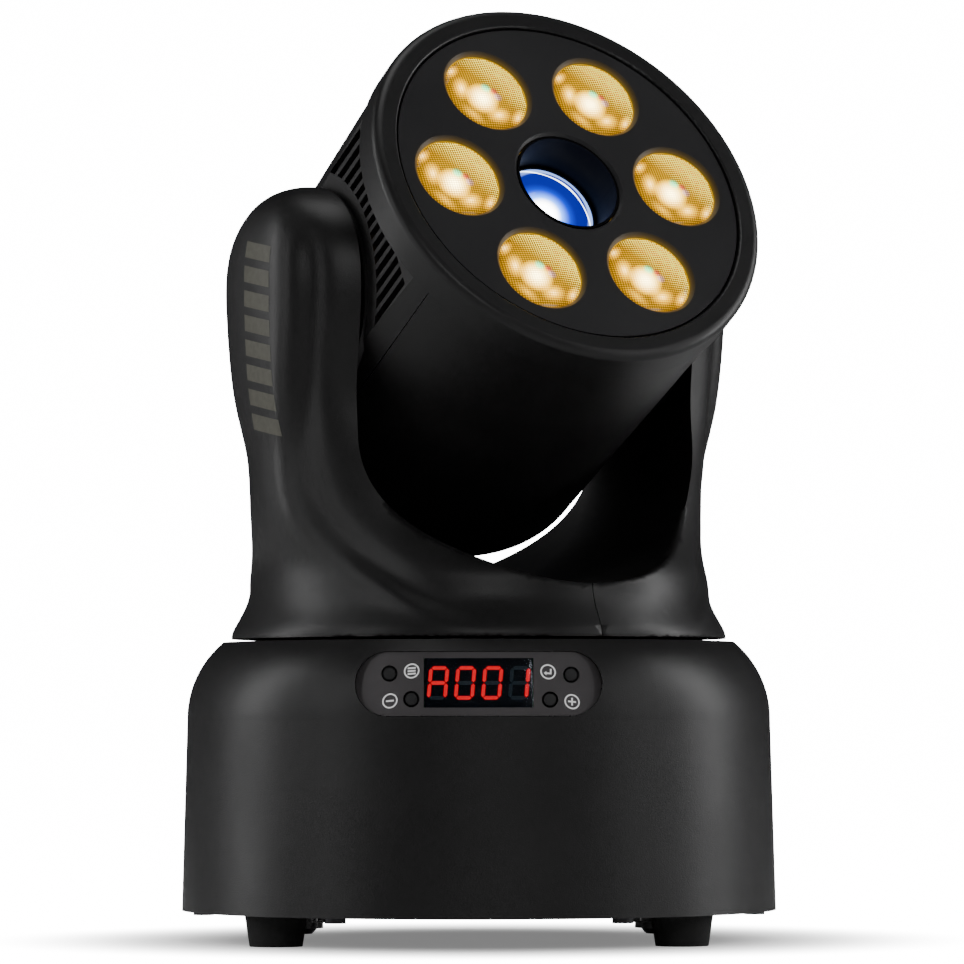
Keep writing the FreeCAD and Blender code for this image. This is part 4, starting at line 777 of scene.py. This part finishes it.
def wash_lens(number):
    centre, radius, _ = lens_centre(number)
    top = FACE_FRONT - TOP_UNDER_FACE
    sheet, faces = lens_sheet(radius, top - PILLOW_HEIGHT, DOME_RISE, PILLOW_PITCH * MM, PILLOW_HEIGHT)
    points = [(x + centre.x, y + centre.y, z) for x, y, z in sheet]
    built = piece(f"lit_lens_{number}", points, faces, HEAD, "head", "amber_lens")
    lay_map(built, HEAD, centre)
    edge, back = top - DOME_RISE - PILLOW_HEIGHT, reach(f"wash_lens_{number}", HEAD)[0].z
    cone = [(0.4 * MM, edge - 0.1 * MM), (radius - 0.05 * MM, edge - 0.1 * MM),
            (radius - 0.05 * MM, edge - 2 * MM), (LENS_BACK_RADIUS, back), (0.4 * MM, back)]
    ring_about(f"lens_body_{number}", cone, HEAD, "head", "amber_lens", 48, (centre.x, centre.y), RIM_AMBER)
    wall = [(radius + 0.02 * MM, edge + 0.2 * MM), (radius + 0.30 * MM, edge + 0.2 * MM),
            (radius + 0.30 * MM, edge - 1.5 * MM), (radius + 0.02 * MM, edge - 1.5 * MM)]
    ring_about(f"lens_seal_{number}", wall, HEAD, "head", "amber_lens", 96, (centre.x, centre.y), RIM_AMBER)
    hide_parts(f"wash_lens_{number}")
    return built


for number in range(1, LENS_COUNT + 1):
    lens = wash_lens(number)
print(LENS_COUNT, "pillowed lenses of", len(lens.data.polygons), "faces each")

# %% [markdown]
# The beam lens is one thick dome at the bottom of a glossy tube. Turning its outline would leave a
# pinched middle, so it is laid as the same kind of sheet as the wash lenses, only smooth.

# %% Beam lens and its tube
beam_low, beam_high = reach("beam_lens", HEAD)
BEAM_RADIUS = 0.5 * (beam_high.x - beam_low.x)
BEAM_RISE = 4.9 * MM
BEAM_LIFT = 2.2 * MM
BEAM_TOP = beam_high.z + BEAM_LIFT


def beam_dome():
    sheet, faces = lens_sheet(BEAM_RADIUS, BEAM_TOP, 0.0, 0.6 * MM, 0.0)
    points = [(x, y, BEAM_TOP - BEAM_RISE * (math.hypot(x, y) / BEAM_RADIUS) ** 2) for x, y, _ in sheet]
    built = piece("beam_dome", points, faces, HEAD, "head", "beam_glass")
    lay_map(built, HEAD, Vector((0, 0, 0)))
    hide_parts("beam_lens")
    edge = BEAM_TOP - BEAM_RISE
    wall = [(BEAM_RADIUS - 1.2 * MM, edge - 0.1 * MM), (BEAM_RADIUS, edge - 0.1 * MM),
            (BEAM_RADIUS, beam_low.z), (BEAM_RADIUS - 1.2 * MM, beam_low.z)]
    ring_about("beam_dome_edge", wall, HEAD, "head", "beam_glass", 96, finish=FINISHES["gloss_black"])
    return built


def retaining_ring():
    """The thin ring that holds the dome in its tube; its edge catches the light."""
    low = BEAM_TOP - BEAM_RISE + 0.2 * MM
    outline = eased([(BEAM_RADIUS - 0.9 * MM, low), (BEAM_RADIUS + 0.1 * MM, low),
                     (BEAM_RADIUS + 0.1 * MM, low + 1.0 * MM),
                     (BEAM_RADIUS - 0.9 * MM, low + 1.0 * MM)], 0.3 * MM)
    return ring_about("beam_retaining_ring", outline, HEAD, "head", "gloss_black", 128)


beam_dome()
retaining_ring()
print("beam dome", round(2 * BEAM_RADIUS / MM, 1), "mm across")

# %% [markdown]
# The display shows a start address, as stage lights do, in the usual seven slanted segments. Each segment is a
# flat six-sided bar. The ones that are off are given a faint painted glow, so they still show through the smoke
# pane.

# %% Display digits
front_low, front_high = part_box("display_module")
DIGIT_PITCH = 7.62 * MM
DIGIT_WIDE = 4.6 * MM
DIGIT_TALL = 8.4 * MM
BAR = 1.05 * MM
SLANT = math.tan(math.radians(5))
LIT_SEGMENTS = {"A": "abcefg", "0": "abcdef", "1": "bc"}
# The display's own frame: X to the right, Y up, Z out of its face.
FACE = frame_of(Vector((1, 0, 0)), UP, Vector((0, -1, 0)),
                Vector((0, front_low.y, 0.5 * (front_low.z + front_high.z))))


def light_finish(name, colour, strength, base):
    made = Finish(name, base, 0.4)
    dimmer = tuple(0.85 * c for c in colour)
    made.put("Emission Color", made.ramp(made.noise(900.0), (0.3, dimmer), (0.7, colour)))
    made.put("Emission Strength", strength)
    return made.material


LIT_RED = light_finish("lit_red", (1.0, 0.0, 0.010), 1.25, (0.3, 0.0, 0.0))
# The segments that are off glow faintly: painted light, standing in for room light they would catch.
OFF_SEGMENT_PAINTED_GLOW = light_finish("unlit_segment_painted_glow", (0.02, 0.05, 0.07), 0.16, (0.015, 0.025, 0.032))


def bar_outline(x, y, length, across_):
    """A segment's six corners, lying (across_) or standing, before the slant."""
    half, tip = length / 2 - 0.12 * MM, BAR / 2
    flat = [(-half, 0), (-half + tip, -tip), (half - tip, -tip),
            (half, 0), (half - tip, tip), (-half + tip, tip)]
    turned_ = flat if across_ else [(b, a) for a, b in flat]
    return [(x + a + (y + b) * SLANT, y + b) for a, b in turned_]


def digit(number, shown):
    """Seven segments round the middle of one digit; those of the shown sign are lit."""
    middle = (number - 1.5) * DIGIT_PITCH
    half_w, quarter = DIGIT_WIDE / 2, DIGIT_TALL / 4
    layout = {"a": (0, 2, True), "g": (0, 0, True), "d": (0, -2, True), "f": (-1, 1, False),
              "b": (1, 1, False), "e": (-1, -1, False), "c": (1, -1, False)}
    for letter, (side, level, flat) in layout.items():
        length = DIGIT_WIDE if flat else 2 * quarter
        outline = bar_outline(middle + side * half_w, level * quarter, length, flat)
        lit = letter in LIT_SEGMENTS[shown]
        raised(f"digit_{number + 1}_{letter}", outline, 0.02 * MM, 0.07 * MM, FACE, "root", "display_black",
               LIT_RED if lit else OFF_SEGMENT_PAINTED_GLOW)


for number, shown in enumerate("A001"):
    digit(number, shown)
print("four digits,", round(DIGIT_TALL / MM, 1), "mm tall")

# %% [markdown]
# The panel is a flat label on a slanted seat, so its printing needs the label's own tilt. Its CAD
# node gives the top and bottom edges of the face, and the printing lies a hair in front of it.

# %% Panel frame and icons
panel_low, panel_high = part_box("control_panel")
PANEL_MIDDLE_Z = 0.5 * (panel_low.z + panel_high.z)


def label_frame(x, z):
    """A frame on the panel's face at a place: X to the right, Y up the face, Z out of it."""
    _, on_face, normal, _ = nodes["control_panel"].ray_cast(Vector((x, -1, z)), Vector((0, 1, 0)))
    right = Vector((1, 0, 0))
    right = (right - normal * right.dot(normal)).normalized()
    return frame_of(right, normal.cross(right), normal, on_face)


INK_RAISE = 0.06 * MM


def ink(name, outlines, x, z):
    """Printed shapes round one place on the panel: each outline is flat (across, up) points."""
    place = label_frame(x, z)
    for number, outline in enumerate(outlines):
        raised(f"{name}_{number + 1}", outline, 0.01 * MM, INK_RAISE, place, "root", "panel_film", WHITE_INK_PAINTED_GLOW)


def white_ink_painted_glow():
    made = Finish("white_ink_painted_glow", (0.72, 0.72, 0.72), 0.5)
    made.put("Base Color", made.ramp(made.noise(700.0), (0.3, (0.62, 0.62, 0.62)), (0.7, (0.78, 0.78, 0.78))))
    # Painted glow: the white print glows faintly, though ink is no lamp.
    made.put("Emission Color", (1, 1, 1, 1))
    made.put("Emission Strength", 0.35)
    return made.material


WHITE_INK_PAINTED_GLOW = white_ink_painted_glow()
ICON_RADIUS = 2.25 * MM
ICON_LINE = 0.42 * MM
# One icon beside each button: menu, minus, enter and plus, as (across, up from the middle) in mm.
ICONS = {"menu": (-18.8, 3.6), "minus": (-24.9, -4.8), "enter": (19.5, 3.3), "plus": (26.2, -5.1)}


def icon_ring(name, x, z):
    """A thin printed ring round an icon."""
    place = label_frame(x, z)
    outline = [(ICON_RADIUS - ICON_LINE, 0.01 * MM), (ICON_RADIUS, 0.01 * MM),
               (ICON_RADIUS, INK_RAISE), (ICON_RADIUS - ICON_LINE, INK_RAISE)]
    ring_about(name, outline, place, "root", "panel_film", 64, finish=WHITE_INK_PAINTED_GLOW)


def icon_marks(kind):
    line, wide = 0.24 * MM, 1.15 * MM
    if kind == "menu":
        return [box_outline(-wide, y - line, wide, y + line) for y in (-0.85 * MM, 0, 0.85 * MM)]
    if kind == "minus":
        return [box_outline(-wide, -line, wide, line)]
    if kind == "plus":
        return [box_outline(-wide, -line, wide, line), box_outline(-line, line, line, wide),
                box_outline(-line, -wide, line, -line)]
    foot = -0.45 * MM
    return [box_outline(-0.5 * MM, foot - line, 1.0 * MM, foot + line),
            box_outline(1.0 * MM - 2 * line, foot + line, 1.0 * MM, 0.95 * MM),
            [(-1.25 * MM, foot), (-0.5 * MM, foot - 0.62 * MM), (-0.5 * MM, foot + 0.62 * MM)]]


for kind, (across_mm, up_mm) in ICONS.items():
    x, z = across_mm * MM, PANEL_MIDDLE_Z + up_mm * MM
    icon_ring(f"icon_{kind}_ring", x, z)
    ink(f"icon_{kind}", icon_marks(kind), x, z)
print(len(ICONS), "icons on the panel")

# %% [markdown]
# A reflection makes glass look like glass. Two small pale cards behind the camera are just large
# enough to lie across the right third of the window and along its left edge.

# %% Cards that the window mirrors
CARD_DISTANCE = 2.5


def pane_facing():
    """The way the window's large front face points."""
    faces = nodes["display_window"].data.polygons
    return max((f for f in faces if f.normal.y < -0.5), key=lambda f: f.area).normal.copy()


def mirror_card(name, x_from, x_to, strength):
    """A card behind the camera, placed so that the flat window shows it between two places."""
    low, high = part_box("display_window")
    facing = pane_facing()
    corners = []
    for x, z in ((x_from, low.z), (x_to, low.z), (x_to, high.z), (x_from, high.z)):
        on_pane = Vector((x, low.y, z))
        arriving = (on_pane - CAMERA_PLACE).normalized()
        leaving = arriving - 2 * arriving.dot(facing) * facing
        corners.append(on_pane + leaving * CARD_DISTANCE)
    mesh = bpy.data.meshes.new(name)
    mesh.from_pydata(corners, [], [(0, 1, 2, 3)])
    card = bpy.data.objects.new(name, mesh)
    bpy.context.scene.collection.objects.link(card)
    white = bpy.data.materials.new(name)
    white.use_nodes = True
    shader = white.node_tree.nodes["Principled BSDF"]
    shader.inputs["Base Color"].default_value = (0, 0, 0, 1)
    shader.inputs["Emission Color"].default_value = (0.80, 0.88, 1.0, 1)
    shader.inputs["Emission Strength"].default_value = strength
    mesh.materials.append(white)


mirror_card("right_card", 5.2 * MM, 15.4 * MM, 14.0)
mirror_card("left_card", -15.4 * MM, -13.3 * MM, 9.0)
print("two cards stand behind the camera")

# %% [markdown]
# The yoke is moulded with a soft ridge near its outer front corner and a shallow groove inside it,
# which run down each arm and fade out before the seam. The CAD halves are plain. A copy of each half
# gets finer faces where the relief runs, and its points are pushed in or out along their normals.
# How far a point is from the U-shaped gap decides whether it lies on the ridge or in the groove.

# %% Ridge and groove on the yoke
yoke_low, _ = reach("yoke_left", YOKE)
GAP_HALF = 55.7 * MM
GAP_ROUND = 42.0 * MM
GAP_FLOOR = yoke_low.z + 15.2 * MM
GROOVE_AT, GROOVE_WIDE, GROOVE_DEEP = 12.2 * MM, 3.0 * MM, 1.25 * MM
RIDGE_AT, RIDGE_WIDE, RIDGE_HIGH = 17.2 * MM, 3.0 * MM, 0.85 * MM
RELIEF_TOP, RELIEF_FADE = 214 * MM, 22 * MM
RELIEF_FROM, RELIEF_FULL = 34 * MM, 54 * MM
FINE_EDGE = 1.7 * MM
FINE_BAND = (14 * MM, 12 * MM)
FINE_FROM = 18 * MM


def from_gap(p):
    """Distance outside the yoke's U-shaped gap, seen from the front."""
    sideways = max(abs(p.x) - (GAP_HALF - GAP_ROUND), 0.0)
    down = max(GAP_FLOOR + GAP_ROUND - p.z, 0.0)
    return math.hypot(sideways, down) - GAP_ROUND


def bell(value, middle, width):
    return math.exp(-((value - middle) / width) ** 2)


def ease(value, start, end):
    share = min(max((value - start) / (end - start), 0.0), 1.0)
    return share * share * (3 - 2 * share)


def relief(p, normal):
    """How far a point of the yoke moves along its normal."""
    away = from_gap(p)
    facing = ease(abs(normal.y), 0.05, 0.35)
    fade = ease(RELIEF_TOP - p.z, 0.0, RELIEF_FADE) * ease(abs(p.x), RELIEF_FROM, RELIEF_FULL)
    outside = ease(away, 1.5 * MM, 5 * MM)
    height = RIDGE_HIGH * bell(away, RIDGE_AT, RIDGE_WIDE) - GROOVE_DEEP * bell(away, GROOVE_AT, GROOVE_WIDE)
    return height * facing * fade * outside


def ridged_half(node):
    """A copy of one yoke half with the ridge and groove worked in."""
    made = bmesh.new()
    made.from_mesh(nodes[node].data)
    back = YOKE.inverted()
    bmesh.ops.transform(made, matrix=back, verts=made.verts)
    bmesh.ops.remove_doubles(made, verts=made.verts, dist=0.002 * MM)
    for _ in range(5):
        long_edges = []
        for edge in made.edges:
            middle = 0.5 * (edge.verts[0].co + edge.verts[1].co)
            if abs(from_gap(middle) - FINE_BAND[0]) < FINE_BAND[1] and edge.calc_length() > FINE_EDGE:
                if abs(middle.x) > FINE_FROM and max(abs(v.normal.y) for v in edge.verts) > 0.05:
                    long_edges.append(edge)
        if not long_edges:
            break
        bmesh.ops.subdivide_edges(made, edges=long_edges, cuts=1)
        bmesh.ops.triangulate(made, faces=[f for f in made.faces if len(f.verts) > 4])
    made.normal_update()
    moves = [(v, v.normal * relief(v.co, v.normal)) for v in made.verts]
    for v, move in moves:
        v.co += move
    bmesh.ops.transform(made, matrix=YOKE, verts=made.verts)
    mesh = bpy.data.meshes.new(node + "_ridged")
    made.to_mesh(mesh)
    made.free()
    mesh.shade_smooth()
    mesh.set_sharp_from_angle(angle=math.radians(35))
    mesh.materials.clear()
    mesh.materials.append(FINISHES["body_plastic"])
    built = bpy.data.objects.new(node + "_ridged", mesh)
    bpy.context.scene.collection.objects.link(built)
    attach(built, "yoke")
    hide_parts(node)
    return built


ridged = [ridged_half(node) for node in ("yoke_left", "yoke_right")]
print("ridged halves with", [len(half.data.vertices) for half in ridged], "points")

# %% [markdown]
# Each arm carries a row of plain printed bars in an olive grey. Print follows the surface it is on, so
# every bar is a small grid of points dropped onto the arm along the tilt axis and lifted a hair.

# %% Printed bars on the arms
BAR_COUNT = 8
BAR_LOW, BAR_HIGH = 146 * MM, 203 * MM
BAR_FRONT, BAR_BACK = -12.5 * MM, 2.0 * MM
BAR_GAP = 2.4 * MM
BAR_GRID = (14, 6)
BAR_LEAN = 0.18
PRINT_LIFT = 0.05 * MM


def olive_print():
    made = Finish("olive_print", (0.085, 0.083, 0.062), 0.55)
    made.put("Base Color", made.ramp(made.noise(500.0), (0.3, (0.075, 0.073, 0.055)),
                                     (0.7, (0.098, 0.096, 0.072))))
    made.rough_skin(made.noise(2600.0), 0.00004, 0.4)
    return made.material


OLIVE = olive_print()


def dropped(side, y, z):
    """The point on an arm's outer face at a place, in the yoke's frame, lifted a little."""
    start = YOKE @ Vector((side * 0.2, y, z))
    way = (YOKE.to_3x3() @ Vector((-side, 0, 0))).normalized()
    half = ridged[0] if side < 0 else ridged[1]
    _, found, normal, _ = half.ray_cast(start, way)
    return YOKE.inverted() @ (found + normal * PRINT_LIFT)


def printed_bar(name, side, z0, z1):
    across_count, up_count = BAR_GRID
    points, faces = [], []
    for i in range(across_count + 1):
        for j in range(up_count + 1):
            y = BAR_FRONT + (BAR_BACK - BAR_FRONT) * i / across_count
            lean = BAR_LEAN * (y - BAR_FRONT)
            points.append(dropped(side, y, z0 + (z1 - z0) * j / up_count + lean))
    row = up_count + 1
    for i in range(across_count):
        for j in range(up_count):
            a = i * row + j
            faces.append((a, a + 1, a + row + 1, a + row))
    return piece(name, points, faces, YOKE, "yoke", "body_plastic", OLIVE)


bpy.context.view_layer.update()
pitch = (BAR_HIGH - BAR_LOW) / BAR_COUNT
for side, word in ((-1, "left"), (1, "right")):
    for k in range(BAR_COUNT):
        low = BAR_LOW + k * pitch
        printed_bar(f"arm_bar_{word}_{k + 1}", side, low, low + pitch - BAR_GAP)
print(2 * BAR_COUNT, "bars on the arms")
